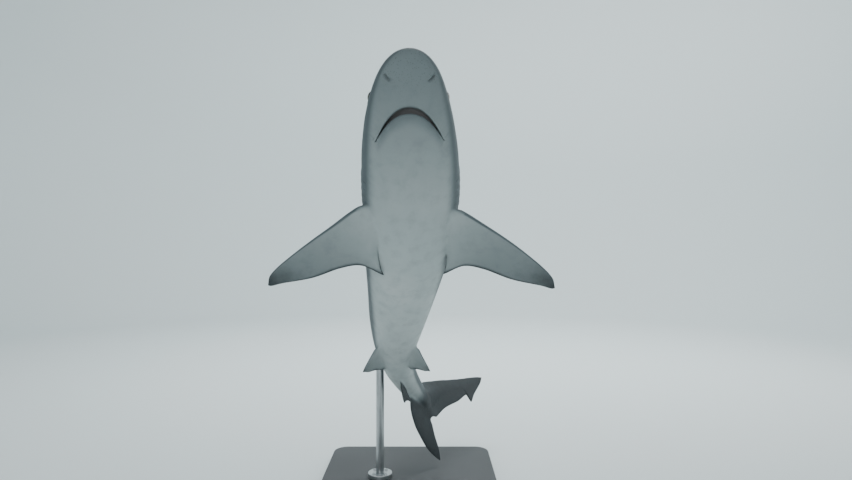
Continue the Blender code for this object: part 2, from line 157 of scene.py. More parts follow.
def place(body):
    """The world points for an array of rows of station, side and height."""
    station, side, height = np.asarray(body, float).T
    twist = np.interp(station, SPINE_STATIONS, SPINE_TWIST)
    side, height = (side * np.cos(twist) + height * np.sin(twist),
                    height * np.cos(twist) - side * np.sin(twist))
    turn = np.interp(station, SPINE_STATIONS, SPINE_TURN)
    back = np.interp(station, SPINE_STATIONS, SPINE_BACK) - side * np.sin(turn)
    left = np.interp(station, SPINE_STATIONS, SPINE_SIDE) + side * np.cos(turn)
    moved = -back[:, None] * HEADING + left[:, None] * LEFT + height[:, None] * UP
    return SNOUT_TIP + LENGTH * moved


def body_place(points):
    """The other way round: the rows of station, side and height of world points."""
    local = (np.asarray(points, float) - SNOUT_TIP) / LENGTH
    back, left, height = -local @ HEADING, local @ LEFT, local @ UP
    station, side = np.zeros(len(local)), np.zeros(len(local))
    for part in np.array_split(np.arange(len(local)), 1 + len(local) // 20000):
        ahead = back[part, None] - SPINE_BACK
        across = left[part, None] - SPINE_SIDE
        along = ahead * np.cos(SPINE_TURN) + across * np.sin(SPINE_TURN)
        near = np.argmin(ahead ** 2 + across ** 2, axis=1)
        rows = np.arange(len(part))
        station[part] = SPINE_STATIONS[near] + along[rows, near]
        side[part] = (across * np.cos(SPINE_TURN) - ahead * np.sin(SPINE_TURN))[rows, near]
    twist = np.interp(station, SPINE_STATIONS, SPINE_TWIST)
    return np.stack([station, side * np.cos(twist) - height * np.sin(twist),
                     height * np.cos(twist) + side * np.sin(twist)], axis=1)


print("tail tip of the backbone at", place([(1, 0, 0)])[0].round(3))

# %% [markdown]
# ## The trunk's sections
# Each section of the trunk is a rounded oval: wider than tall and nearly flat below at the head,
# almost an ellipse at the tail. Such a body could be sculpted, but a superellipse between measured
# stations needs few numbers, and each of them can be checked on a real fish. Half-widths and
# heights follow the root of the station, which is what makes the snout round and not pointed. The
# superellipse is read by direction, which spaces its points evenly, so the skin has no long thin
# faces.

# %% Sections of the trunk
SECTIONS = (  # station, half-width, height above the backbone, depth below it
    (0.000, 0.0000, 0.0000, 0.0000),
    (0.008, 0.0200, 0.0090, 0.0085),
    (0.030, 0.0355, 0.0175, 0.0150),
    (0.065, 0.0475, 0.0290, 0.0225),
    (0.100, 0.0553, 0.0400, 0.0310),
    (0.150, 0.0620, 0.0520, 0.0430),
    (0.210, 0.0651, 0.0620, 0.0540),
    (0.300, 0.0634, 0.0700, 0.0620),
    (0.350, 0.0583, 0.0710, 0.0630),
    (0.420, 0.0508, 0.0660, 0.0580),
    (0.480, 0.0444, 0.0580, 0.0510),
    (0.540, 0.0364, 0.0495, 0.0430),
    (0.600, 0.0287, 0.0400, 0.0345),
    (0.660, 0.0234, 0.0315, 0.0270),
    (0.710, 0.0194, 0.0260, 0.0225),
    (0.760, 0.0150, 0.0225, 0.0205),
)
BACK_ROUNDNESS = 2.1
BELLY_ROUNDNESS = ((0, 2.2), (0.06, 2.6), (0.2, 2.4), (0.45, 2.2), (0.8, 2.0))
TAPER_START, TRUNK_END = 0.738, 0.786  # the trunk ends in a round nose inside the tail's upper lobe

half_width_at, height_at, depth_at = (
    even_curve([(section[0] ** 0.5, section[i]) for section in SECTIONS]) for i in (1, 2, 3))
belly_roundness_at = even_curve(BELLY_ROUNDNESS)


def trunk_point(station, turn):
    """Rows of station, side and height on the trunk; turn runs 0 to 1 from the back round the left."""
    root = np.sqrt(np.minimum(station, SECTIONS[-1][0]))
    side, up = np.sin(2 * np.pi * turn), np.cos(2 * np.pi * turn)
    power = np.where(up >= 0, BACK_ROUNDNESS, belly_roundness_at(station))
    tall = np.where(up >= 0, height_at(root), depth_at(root))
    reach = (np.abs(side) ** power + np.abs(up) ** power) ** (-1 / power)
    past = np.clip((station - TAPER_START) / (TRUNK_END - TAPER_START), 0, 1)
    reach = reach * np.sqrt(1 - past ** 2)
    return np.stack([station, side * reach * half_width_at(root), up * reach * tall], axis=1)


print("widest half", round(float(half_width_at(0.21 ** 0.5)) * LENGTH, 3), "m")

# %% [markdown]
# ## Relief on the trunk
# Small forms sit on the plain trunk: gill slits, each behind a low flap, the nostrils with their
# flaps, the swell of the lips, the furrows at the corners of the mouth, the pit in front of the
# tail and the vent. They could be a bump in the material, but then they would vanish at the
# outline, where the eye looks for them. So each is a height, in metres, that depends on the place;
# they are added up and the skin is pushed out by the total. Here are their places, as shares of the
# length, and their sizes, in metres.

# %% Places and sizes of the small forms
GILL_STATIONS = (0.172, 0.184, 0.196, 0.2075, 0.218)
GILL_LOW, GILL_HIGH = -0.026, 0.020
GILL_FLAP, GILL_FLAP_LENGTH, GILL_FLAP_EDGE = 0.0012, 0.016, (0.0012, -0.0004)
GILL_DEPTH, GILL_WIDTH, GILL_BOW = 0.0042, 0.0012, 0.004
NOSTRIL_STATION, NOSTRIL_SIDE, NOSTRIL_SLANT = 0.030, 0.0258, math.radians(35)
NOSTRIL_DEPTH, NOSTRIL_LONG, NOSTRIL_WIDE = 0.0055, 0.0072, 0.0030
NOSTRIL_FLAP, NOSTRIL_RIM = 0.0020, 0.0009
MOUTH_FRONT, MOUTH_CORNER, MOUTH_HALF_WIDTH, MOUTH_ARCH_POWER = 0.061, 0.106, 0.041, 2.2
MOUTH_OPENING = 0.0085
LIP_SWELL, CHIN_SWELL, CHIN_BEHIND = 0.0012, 0.0022, 0.016
FURROW_DEPTH, FURROW_WIDTH, FURROW_AHEAD, FURROW_BEHIND = 0.0022, 0.0014, 0.009, 0.013
PIT_STATION, PIT_ABOVE, PIT_BELOW = 0.741, 0.0034, 0.0016
VENT_STATION, VENT_DEPTH, VENT_RIM = 0.512, 0.0030, 0.0010
print("gill slits a side:", len(GILL_STATIONS))

# %% [markdown]
# A form is a product of bells and steps of the distances from its middle, so it fades out on all
# sides. The ones under the body are switched off above it.

# %% Gills, nostrils, lips, pit and vent
def arch_station(side):
    """The station of the upper lip this far to the side."""
    across = np.minimum(np.abs(side) / MOUTH_HALF_WIDTH, 1)
    return MOUTH_FRONT + (MOUTH_CORNER - MOUTH_FRONT) * across ** MOUTH_ARCH_POWER


def gill_relief(station, side, height):
    middle, half = (GILL_LOW + GILL_HIGH) / 2, (GILL_HIGH - GILL_LOW) / 2
    reach = np.clip(1 - ((height - middle) / half) ** 2, 0, 1)
    relief = np.zeros(len(station))
    for slit in GILL_STATIONS:
        ahead = (station - slit) * LENGTH + GILL_BOW * (1 - reach)
        flap = smooth_step(-GILL_FLAP_LENGTH, 0, ahead) * smooth_step(*GILL_FLAP_EDGE, ahead)
        groove = bump(ahead - GILL_WIDTH, GILL_WIDTH)
        relief += GILL_FLAP * flap * reach
        relief -= GILL_DEPTH * groove * np.sqrt(reach)
    return relief


def nostril_relief(station, side, height):
    back = (station - NOSTRIL_STATION) * LENGTH
    out = (np.abs(side) - NOSTRIL_SIDE) * LENGTH
    major = out * math.cos(NOSTRIL_SLANT) - back * math.sin(NOSTRIL_SLANT)
    minor = out * math.sin(NOSTRIL_SLANT) + back * math.cos(NOSTRIL_SLANT)
    pit = -NOSTRIL_DEPTH * np.exp(-(major / NOSTRIL_LONG) ** 4 - (minor / NOSTRIL_WIDE) ** 2)
    flap = NOSTRIL_FLAP * bump(major + 0.001, 0.0042) * bump(minor + 0.0038, 0.0022)
    rim = NOSTRIL_RIM * bump(major, 0.009) * bump(minor - 0.0058, 0.0022)
    return (pit + flap + rim) * (height < 0)


def mouth_relief(station, side, height):
    behind = (station - arch_station(side)) * LENGTH
    inside = smooth_step(MOUTH_HALF_WIDTH * 1.12, MOUTH_HALF_WIDTH * 0.75, np.abs(side))
    lip = LIP_SWELL * bump(behind + 0.004, 0.004)
    chin = CHIN_SWELL * bump(behind - CHIN_BEHIND, 0.010)
    out = (np.abs(side) - MOUTH_HALF_WIDTH) * LENGTH
    back = (station - MOUTH_CORNER) * LENGTH
    along = np.clip(-back * 0.8 + out * 0.6, -FURROW_AHEAD, FURROW_BEHIND)
    away = np.hypot(back + 0.8 * along, out - 0.6 * along)
    furrow = -FURROW_DEPTH * bump(away, FURROW_WIDTH)
    return (inside * (lip + chin) + furrow) * (height < 0)


def tail_relief(station, side, height):
    along, out = (station - PIT_STATION) * LENGTH, side * LENGTH
    pit = bump(along, 0.0042) * bump(out, 0.014) * np.where(height > 0, PIT_ABOVE, PIT_BELOW)
    along = (station - VENT_STATION) * LENGTH
    vent = VENT_DEPTH * bump(out, 0.0014) * bump(along, 0.011)
    rim = VENT_RIM * bump(out, 0.006) * bump(along, 0.014)
    return -pit + (rim - vent) * (height < 0)


def relief_at(station, side, height):
    """How far the skin stands off the plain trunk, in metres."""
    return sum(part(station, side, height)
               for part in (gill_relief, nostril_relief, mouth_relief, tail_relief))


vent = np.array([(VENT_STATION, 0, -0.04)])
print("relief at the vent:", relief_at(*vent.T).round(4), "m")

# %% [markdown]
# ## Eyelids
# A shark's eye is a ball sunk in the side of the head, and the skin closes round it in a firm
# circular lid. The lid could be a ring laid on the head, but a ring looks stuck on, so the head's
# own skin is drawn into its shape. Inside the opening the skin is drawn back behind the ball's
# face, and around it the skin is kept just above the ball, so the lid has an edge that stands a
# little proud of the eye. A third, lower lid, the nictitating fold, rests on the ball at the bottom
# of the opening.

# %% The lids round the eyes
EYE_STATION, EYE_HEIGHT, EYE_DEPTH, EYE_RADIUS = 0.070, 0.012, 0.0096, 0.0098
EYE_AXIS = np.array((-0.10, 1.0, 0.12)) / np.linalg.norm((-0.10, 1.0, 0.12))
EYE_OPENING, EYE_OPENING_TALL = 0.0124, 0.92
LID_THICKNESS, EYE_SINK = 0.0010, 0.0045
LID_RIM, LID_FURROW, LID_RING = (0.0009, 0.0012), (0.0008, 0.0048), 0.0012  # size, how far out
FOLD_EDGE, FOLD_CURVE, FOLD_THICKNESS = -0.0078, 12.0, 0.0005


def eye_frame(hand):
    """The eye's centre in station, side and height, and its outward axis, for this side."""
    side = float(half_width_at(EYE_STATION ** 0.5)) - EYE_DEPTH
    return np.array((EYE_STATION, hand * side, EYE_HEIGHT)), EYE_AXIS * (1, hand, 1)


def with_lids(body):
    """Body rows with the skin drawn into lids round both eyes."""
    body = body.copy()
    ball = EYE_RADIUS * LENGTH
    for hand in (1, -1):
        centre, axis = eye_frame(hand)
        offset = (body - centre) * LENGTH
        depth = offset @ axis
        ring = offset - depth[:, None] * axis
        away = np.sqrt(ring[:, 0] ** 2 + ring[:, 1] ** 2 + (ring[:, 2] / EYE_OPENING_TALL) ** 2)
        cap = np.sqrt(np.clip(ball ** 2 - away ** 2, 0, None))
        lid = np.maximum(depth, cap + LID_THICKNESS)
        lid += LID_RIM[0] * bump(away - EYE_OPENING - LID_RIM[1], LID_RING)
        lid -= LID_FURROW[0] * bump(away - EYE_OPENING - LID_FURROW[1], LID_RING)
        hole = smooth_step(EYE_OPENING + 0.0006, EYE_OPENING - 0.0004, away)
        fold = smooth_step(0.0006, -0.0006, ring[:, 2] - FOLD_EDGE - FOLD_CURVE * ring[:, 0] ** 2)
        inner = (cap - EYE_SINK) * (1 - fold) + (cap + FOLD_THICKNESS) * fold
        target = lid * (1 - hole) + inner * hole
        near = smooth_step(ball * 1.5, ball * 0.95, away) * (depth > 0)
        body += (near * (target - depth))[:, None] * axis / LENGTH
    return body


print("eye opening", round(2000 * EYE_OPENING, 1), "mm")

# %% [markdown]
# ## A sheet wrapped into a tube
# Trunk, fins and the mouth's hollow are all closed tubes. They could be extruded ring by ring from
# a circle, but a flat grid can first be made finer where small forms need it, while it is still
# easy to search. So an operator makes the grid, a function gives its points their places on the
# tube, the seam is merged and the ends are filled. Each point keeps its place on the grid, along
# and turn, for the markings to be worked out from.

# %% The wrapping helper
def wrapped_sheet(name, rows, around, point_at, finer=()):
    """A closed tube from a flat grid. finer holds tests of flat points; each halves the faces there."""
    bm = bmesh.new()
    own = [bm.verts.layers.float.new(key) for key in ("along", "turn")]
    bmesh.ops.create_grid(bm, x_segments=rows, y_segments=around, size=0.5)
    bmesh.ops.translate(bm, verts=bm.verts, vec=(0.5, 0.5, 0))
    for wanted in finer:
        flat = np.array([vert.co[:2] for vert in bm.verts])
        keep = wanted(flat[:, 0], flat[:, 1])
        bm.verts.index_update()
        edges = [e for e in bm.edges if keep[e.verts[0].index] and keep[e.verts[1].index]]
        bmesh.ops.subdivide_edges(bm, edges=edges, cuts=1, use_grid_fill=True)
    flat = np.array([vert.co[:2] for vert in bm.verts])
    for vert, place_on_grid, point in zip(bm.verts, flat, point_at(flat[:, 0], flat[:, 1] % 1)):
        vert.co = point
        vert[own[0]], vert[own[1]] = place_on_grid
    seal(bm)
    return finished(name, bm)


def seal(bm):
    """Merges the points that meet and fills the open ends."""
    bmesh.ops.remove_doubles(bm, verts=bm.verts, dist=1e-6)
    bmesh.ops.dissolve_degenerate(bm, edges=bm.edges, dist=1e-6)
    bmesh.ops.holes_fill(bm, edges=[e for e in bm.edges if e.is_boundary], sides=0)


def finished(name, bm):
    """An object from a bmesh, smooth and with its faces turned outwards."""
    bmesh.ops.recalc_face_normals(bm, faces=bm.faces)
    if bm.calc_volume(signed=True) < 0:
        bmesh.ops.reverse_faces(bm, faces=bm.faces)
    mesh = bpy.data.meshes.new(name)
    bm.to_mesh(mesh)
    bm.free()
    mesh.shade_smooth()
    made = bpy.data.objects.new(name, mesh)
    bpy.context.scene.collection.objects.link(made)
    return made


def column(items, key, width=1, kind=np.float32):
    """One property of all the items, as an array with a row for each."""
    flat = np.empty(len(items) * width, kind)
    items.foreach_get(key, flat)
    return flat.reshape(-1, width) if width > 1 else flat


def coordinates(mesh):
    """The mesh's points as rows."""
    return column(mesh.vertices, "co", 3).astype(float)


def read(mesh, name):
    """The attribute's value at each point."""
    return column(mesh.attributes[name].data, "value").astype(float)


def store(mesh, name, values, kind="FLOAT"):
    """Keeps the values as an attribute of the mesh's points."""
    attribute = mesh.attributes.new(name, kind, "POINT")
    key = "value" if kind == "FLOAT" else "vector"
    attribute.data.foreach_set(key, np.array(values, np.float32).ravel())


print("wrapping helper ready")

# %% [markdown]
# ## The trunk
# The trunk's skin carries all the small forms. An even grid that is fine enough for the gills would
# have far too many faces, so the rows are closer where the detail is: at the snout's tip, on the
# head and over the gills. Round the eyes, the nostrils and the gill slits and along the lips the
# faces are halved once or twice more.

# %% The trunk's skin
ROW_PLACES = ((0, 0), (0.012, 0.0003), (0.08, 0.010), (0.38, 0.160), (0.64, 0.226), (0.94, 0.735),
              (1.0, TRUNK_END))
TRUNK_ROWS, TRUNK_AROUND = 410, 132
FINER_EYE, FINEST_EYE, FINER_NOSTRIL, FINER_GILL = 0.030, 0.022, 0.013, 0.006  # how near, in metres
station_of_row = even_curve(ROW_PLACES)


def trunk_skin(along, turn):
    """World points of the trunk's skin, with its relief and lids."""
    station = station_of_row(along)
    plain = trunk_point(station, turn)
    step = 1e-4
    backward = trunk_point(np.clip(station + step, 0, TRUNK_END), turn) - plain
    sideward = trunk_point(station, turn + step) - plain
    normal = np.cross(backward, sideward)
    normal /= np.maximum(np.linalg.norm(normal, axis=1), 1e-15)[:, None]
    lifted = plain + normal * (relief_at(*plain.T) / LENGTH)[:, None]
    return place(with_lids(lifted))


def plain_trunk(along, turn):
    """Rows of station, side and height on the plain trunk, from flat points of the grid."""
    return trunk_point(station_of_row(along), turn)


def near_eye(radius):
    def test(along, turn):
        body = plain_trunk(along, turn)
        return np.min([np.linalg.norm(body - eye_frame(hand)[0], axis=1) for hand in (1, -1)],
                      axis=0) < radius / LENGTH
    return test


def near_nostril_or_lip(along, turn):
    station, side, height = plain_trunk(along, turn).T
    nostril = np.hypot(station - NOSTRIL_STATION, np.abs(side) - NOSTRIL_SIDE) < FINER_NOSTRIL / LENGTH
    lip = np.abs(station - arch_station(side) - 0.010 / LENGTH) < 0.016 / LENGTH
    lip &= np.abs(side) < MOUTH_HALF_WIDTH + 0.012 / LENGTH
    return (nostril | lip) & (height < 0)


def near_gill(along, turn):
    station, _, height = plain_trunk(along, turn).T
    slit = np.min([np.abs(station - gill) for gill in GILL_STATIONS], axis=0) < FINER_GILL / LENGTH
    return slit & (height > GILL_LOW - 0.004) & (height < GILL_HIGH + 0.004)


trunk = wrapped_sheet("trunk", TRUNK_ROWS, TRUNK_AROUND, trunk_skin,
                      (near_eye(FINER_EYE), near_eye(FINEST_EYE), near_nostril_or_lip, near_gill))
print("trunk faces", len(trunk.data.polygons))

# %% [markdown]
# ## Fins
# A shark's fin is a thin foil with a thick, round front edge and a sharp rear one. A flat outline
# with a Solidify modifier would be as thick at the rear as at the front, so a fin is drawn by its
# two edges and by how thick it is between them. The foil is the same closed tube as the trunk, but
# flat: one turn round it goes out over the upper face and back under the lower one. It starts
# inside the body, where it is thicker, and ends in a point. Each point keeps how far out and how
# far back it is on its fin, because the fins' dark tips and fine rays follow these.

# %% Foils between two edges
# A fin's front and rear edges from root to tip, its thickness and its root's, how far out the root's
# thickness reaches, and the rows and points of its grid.
Outline = namedtuple("Outline", "lead trail thickness root_thickness fairing grid")
FOIL_SCALE = 2.6  # makes the foil's greatest thickness 1
FIN_EDGE = 0.00035  # half the thickness kept along the edges, in metres
SIDEWAYS = np.array((0.0, 1.0, 0.0))


def upright(edge):
    """For a fin in the body's middle plane."""
    return np.stack([edge[:, 0], 0 * edge[:, 0], edge[:, 1]], axis=1)


def leaning(angle, lean_from=-0.018):
    """For a fin under the body, which trails the swing of the tail."""
    def to_body(edge):
        lean = np.minimum(0, edge[:, 1] - lean_from) * math.tan(angle)
        return np.stack([edge[:, 0], lean, edge[:, 1]], axis=1)
    return to_body


def paired(origin, angles, hand):
    """For a fin at this side: its edge points turned about its origin by droop, sweep and pitch."""
    droop, sweep, pitch = (math.radians(angle) for angle in angles)
    out = np.array((0, hand * math.cos(droop), -math.sin(droop)))
    over = np.array((0, hand * math.sin(droop), math.cos(droop)))
    back = np.array((math.cos(pitch), 0, 0)) - over * math.sin(pitch)
    swept_out = out * math.cos(sweep) + back * math.sin(sweep)
    swept_back = back * math.cos(sweep) - out * math.sin(sweep)
    root = np.array(origin) * (1, hand, 1)

    def to_body(edge):
        return root + edge[:, :1] * swept_back + edge[:, 1:] * swept_out
    return to_body, over


def foil_point(outline, to_body, over, along, turn):
    """World points on a foil; turn runs from the front edge over the upper face and back."""
    across = (1 - np.cos(2 * np.pi * turn)) / 2
    front, rear = edge_curve(outline.lead)(along), edge_curve(outline.trail)(along)
    foil = FOIL_SCALE * across ** 0.5 * (1 - across) * (1 - along) ** 0.8
    rooted = np.exp(-along / outline.fairing)
    swing = np.sin(2 * np.pi * turn)
    half = outline.thickness / 2 * foil * (1 - rooted)
    half += outline.root_thickness / 2 * np.abs(swing) * rooted
    rim = np.minimum(1, 12 * np.minimum(across, 1 - across)) ** 0.5
    half += FIN_EDGE / LENGTH * rim * (along < 1)
    flat = front + (rear - front) * across[:, None]
    return place(to_body(flat) + (np.sign(swing) * half)[:, None] * over)


print("foils ready")

# %% [markdown]
# ## The fins' outlines
# A reef shark has a tall curved first dorsal fin, a small second one, long pectoral fins, small
# pelvic and anal fins, and a tail whose upper lobe is the longer. Each outline is a few points of
# station and height, or for the paired fins of how far back and how far out from the origin. A left
# and a right fin share one outline and differ only in place and angles, because a shark tilts them
# unevenly as it turns.

# %% Outlines and places of the fins
DORSAL_FIRST = Outline(
    lead=((0.285, 0.048), (0.308, 0.082), (0.342, 0.136), (0.372, 0.166), (0.389, 0.174)),
    trail=((0.385, 0.045), (0.392, 0.069), (0.428, 0.075), (0.427, 0.080), (0.396, 0.104),
           (0.387, 0.145), (0.393, 0.171), (0.389, 0.174)),
    thickness=0.0120, root_thickness=0.0170, fairing=0.07, grid=(56, 44))
DORSAL_SECOND = Outline(
    lead=((0.622, 0.020), (0.636, 0.042), (0.652, 0.058), (0.664, 0.063), (0.669, 0.0625)),
    trail=((0.664, 0.018), (0.668, 0.0305), (0.704, 0.034), (0.704, 0.037), (0.680, 0.046),
           (0.670, 0.057), (0.671, 0.0615), (0.669, 0.0625)),
    thickness=0.0050, root_thickness=0.0070, fairing=0.08, grid=(32, 32))
ANAL = Outline(
    lead=((0.603, -0.018), (0.617, -0.035), (0.634, -0.0495), (0.645, -0.0555), (0.650, -0.056)),
    trail=((0.650, -0.014), (0.655, -0.0265), (0.690, -0.0335), (0.690, -0.0362), (0.673, -0.0415),
           (0.6595, -0.0490), (0.6545, -0.0546), (0.650, -0.056)),
    thickness=0.0050, root_thickness=0.0070, fairing=0.08, grid=(32, 32))
PECTORAL = Outline(
    lead=((-0.0156, -0.030), (-0.0057, 0.010), (0.019, 0.0525), (0.051, 0.101), (0.083, 0.1395),
          (0.100, 0.146)),
    trail=((0.048, -0.024), (0.060, -0.0075), (0.0995, -0.0085), (0.107, -0.0104), (0.087, 0.0185),
           (0.087, 0.046), (0.097, 0.086), (0.100, 0.128), (0.102, 0.142), (0.100, 0.146)),
    thickness=0.0140, root_thickness=0.0190, fairing=0.07, grid=(72, 48))
PELVIC = Outline(
    lead=((-0.007, -0.018), (0.0035, 0.0045), (0.0145, 0.0158), (0.031, 0.0327), (0.0377, 0.038)),
    trail=((0.046, -0.020), (0.056, -0.010), (0.074, -0.0095), (0.074, -0.0065), (0.0586, 0.009),
           (0.0472, 0.0275), (0.0419, 0.0328), (0.0377, 0.038)),
    thickness=0.0060, root_thickness=0.0090, fairing=0.1, grid=(32, 32))
TAIL_UPPER = Outline(
    lead=((0.748, 0.0225), (0.760, 0.0370), (0.780, 0.0520), (0.830, 0.0750), (0.877, 0.0890),
          (0.925, 0.1040), (0.963, 0.1160), (0.980, 0.1190)),
    trail=((0.748, -0.0205), (0.770, -0.0240), (0.793, -0.0270), (0.842, 0.0120),
           (0.883, 0.0360), (0.919, 0.0600), (0.923, 0.0425), (0.940, 0.0660), (0.971, 0.1030),
           (0.980, 0.1190)),
    thickness=0.0080, root_thickness=0.0160, fairing=0.2, grid=(110, 44))
TAIL_LOWER = Outline(
    lead=((0.679, -0.008), (0.697, -0.0397), (0.727, -0.058), (0.761, -0.070), (0.7945, -0.082),
          (0.8255, -0.092)),
    trail=((0.799, -0.008), (0.794, -0.028), (0.8045, -0.047), (0.820, -0.0706), (0.826, -0.0898),
           (0.8255, -0.092)),
    thickness=0.0070, root_thickness=0.0080, fairing=0.06, grid=(48, 36))

# The numbers name the fins in the skin's attribute "fin"; 0 is the trunk.
(TRUNK, DORSAL_1, DORSAL_2, ANAL_FIN, PECTORAL_LEFT, PECTORAL_RIGHT, PELVIC_LEFT, PELVIC_RIGHT,
 LOBE_UPPER, LOBE_LOWER) = range(10)
FINS = {
    DORSAL_1: (DORSAL_FIRST, upright, SIDEWAYS),
    DORSAL_2: (DORSAL_SECOND, upright, SIDEWAYS),
    ANAL_FIN: (ANAL, leaning(math.radians(12)), SIDEWAYS),
    PECTORAL_LEFT: (PECTORAL, *paired((0.2133, 0.0506, -0.0308), (17.5, -8.8, 5.2), 1)),
    PECTORAL_RIGHT: (PECTORAL, *paired((0.2108, 0.0580, -0.0325), (7.4, 6.4, 16.6), -1)),
    PELVIC_LEFT: (PELVIC, *paired((0.5094, 0.0292, -0.0330), (52.4, -1.2, 8.0), 1)),
    PELVIC_RIGHT: (PELVIC, *paired((0.5032, 0.0327, -0.0286), (34.8, 0.3, 5.4), -1)),
    LOBE_UPPER: (TAIL_UPPER, upright, SIDEWAYS),
    LOBE_LOWER: (TAIL_LOWER, leaning(math.radians(21.5)), SIDEWAYS),
}
print("fins", len(FINS))

# %% [markdown]
# Each fin is wrapped from its own grid. The backbone's own flesh turns up into the tail's upper
# lobe, so the lobe is joined by a taper that is told by station, height, half-width and half-height.

# %% Make the fins and the tail's core
TAIL_CORE = ((0.700, 0.0005, 0.0180, 0.0210), (0.735, 0.0012, 0.0166, 0.0208),
             (0.755, 0.0050, 0.0142, 0.0200), (0.775, 0.0150, 0.0112, 0.0186),
             (0.800, 0.0320, 0.0080, 0.0160), (0.830, 0.0515, 0.0055, 0.0130),
             (0.870, 0.0700, 0.0036, 0.0098), (0.910, 0.0850, 0.0022, 0.0060),
             (0.950, 0.0995, 0.0006, 0.0020))
CORE = 10


def make_fin(number):
    outline, to_body, over = FINS[number]
    def point_at(along, turn):
        return foil_point(outline, to_body, over, along, turn)
    return wrapped_sheet(f"fin_{number}", *outline.grid, point_at)


def core_point(along, turn):
    """World points of the flesh inside the upper lobe."""
    station = TAIL_CORE[0][0] + 0.250 * along
    centre, wide, tall = (even_curve([(row[0], row[i]) for row in TAIL_CORE])(station)
                          for i in (1, 2, 3))
    side, up = np.sin(2 * np.pi * turn), np.cos(2 * np.pi * turn)
    return place(np.stack([station, side * wide, centre + up * tall], axis=1))


fins = {number: make_fin(number) for number in FINS}
fins[CORE] = wrapped_sheet("tail_core", 60, 40, core_point)
print("fin faces", sum(len(fin.data.polygons) for fin in fins.values()))

# %% [markdown]
# ## The mouth
# The mouth lies under the head, as an arch. It stands open by a finger's width, and what shows is a
# dark crescent between the upper lip and the jaw. A painted crescent would have no lips, so a wedge
# with that outline is cut from the head. It leans back as it rises, as the jaw does, so the throat
# is out of sight, and it flares at the surface by a quarter circle on each side, which gives the
# lips their round edges.

# %% The mouth's wedge
MOUTH_ROOF, MOUTH_DEEP, MOUTH_LEAN = -0.009, 0.013, 0.011
MOUTH_PAST = 1.02  # how far the wedge runs past the corners
MOUTH_LEAST, MOUTH_BELOW = 0.0006, 0.010  # its thinnest, and how far it reaches below the skin
LOWER_LIP, UPPER_LIP = 0.0075, 0.0018  # how far the lips' edges are rounded


def belly_height(station, side):
    """How high the plain belly is at this station and this far to the side."""
    power = belly_roundness_at(station)
    across = np.clip(np.abs(side) / half_width_at(np.sqrt(station)), 0, 1)
    return -depth_at(np.sqrt(station)) * (1 - across ** power) ** (1 / power)


def mouth_point(along, turn):
    """World points of the wedge: along runs from corner to corner, turn round its thin section."""
    across = np.clip(2 * MOUTH_PAST * along - MOUTH_PAST, -MOUTH_PAST, MOUTH_PAST)
    side = across * MOUTH_HALF_WIDTH
    open_by = np.maximum(MOUTH_OPENING * (1 - across ** 2), MOUTH_LEAST)
    front = arch_station(side)
    surface = belly_height(front, side)
    low, high = surface - MOUTH_BELOW, MOUTH_ROOF - 0.5 * MOUTH_DEEP * across ** 2
    height = low + (high - low) * (0.5 - 0.5 * np.cos(2 * np.pi * turn))
    inwards = np.clip((height - surface) / MOUTH_DEEP, 0, None)

    def flare(lip, station):
        deep = (height - belly_height(station, side)) / lip
        return lip * (1 - np.sqrt(1 - (1 - np.clip(deep, 0, 1)) ** 2)) * (1 - across ** 2).clip(0)
    swing = np.sin(2 * np.pi * turn)
    swing = np.sign(swing) * np.minimum(1, 3 * np.abs(swing)) ** 0.5
    station = front + open_by * (0.5 + 0.5 * swing) + inwards * MOUTH_LEAN
    station += np.clip(swing, 0, None) * flare(LOWER_LIP, front + open_by + LOWER_LIP)
    station += np.clip(swing, None, 0) * flare(UPPER_LIP, front - UPPER_LIP)
    return place(np.stack([station, side, height], axis=1))


wedge = wrapped_sheet("mouth_wedge", 110, 96, mouth_point)
print("wedge faces", len(wedge.data.polygons))

# %% [markdown]
# ## One skin
# A shark has one skin without seams. A voxel remesh would join the pieces, but it would also blunt
# the fins' thin rear edges and forget where on the body each point was. So the trunk and the fins
# are joined into a single closed skin by Boolean modifiers, and the wedge is taken from it. Every
# point keeps an attribute through this that says which fin it belongs to.

# %% Join the fins and open the mouth
MOUTH = -1


def number_points(piece, number):
    """Gives every point of the piece this number as its attribute fin."""
    store(piece.data, "fin", np.full(len(piece.data.vertices), number))


def combined(piece, others, operation):
    """The piece's mesh after a Boolean with each of the others, which are then removed."""
    for other in others:
        modifier = piece.modifiers.new(operation, "BOOLEAN")
        modifier.operation, modifier.solver, modifier.object = operation, "MANIFOLD", other
    mesh = bpy.data.meshes.new_from_object(
        piece.evaluated_get(bpy.context.evaluated_depsgraph_get()))
    piece.modifiers.clear()
    piece.data = mesh
    for other in others:
        bpy.data.objects.remove(other)
    return mesh


number_points(trunk, TRUNK)
for number, fin in fins.items():
    number_points(fin, number)
number_points(wedge, MOUTH)
skin = trunk
skin.name = "skin"
combined(skin, list(fins.values()), "UNION")
print("joined", len(skin.data.vertices), "points", len(skin.data.polygons), "faces")
combined(skin, [wedge], "DIFFERENCE")
print("opened", len(skin.data.vertices), "points", len(skin.data.polygons), "faces")

# %% [markdown]
# ## Fairings and lips
# Where two closed shapes are joined the seam is a sharp crease, and a shark has none: each fin
# grows out of the body with a soft fillet. A bevel needs clean loops of edges, and such a seam is
# ragged, so it is smoothed instead. The points near each seam are found by their distance from it,
# and an operator relaxes them a number of times. The cut edges of the lips are relaxed a little
# too.

# %% Soften the seams
FILLETS = ((0.013, 8), (0.009, 10), (0.005, 8))  # how near the seam, and how many times relaxed
TAIL_FILLETS = ((0.024, 3), (0.020, 5), (0.016, 8), (0.012, 14), (0.008, 16))
LIP_ROUNDING = ((0.0060, 4), (0.0040, 6), (0.0025, 10), (0.0012, 8))
TAIL_START = 0.70


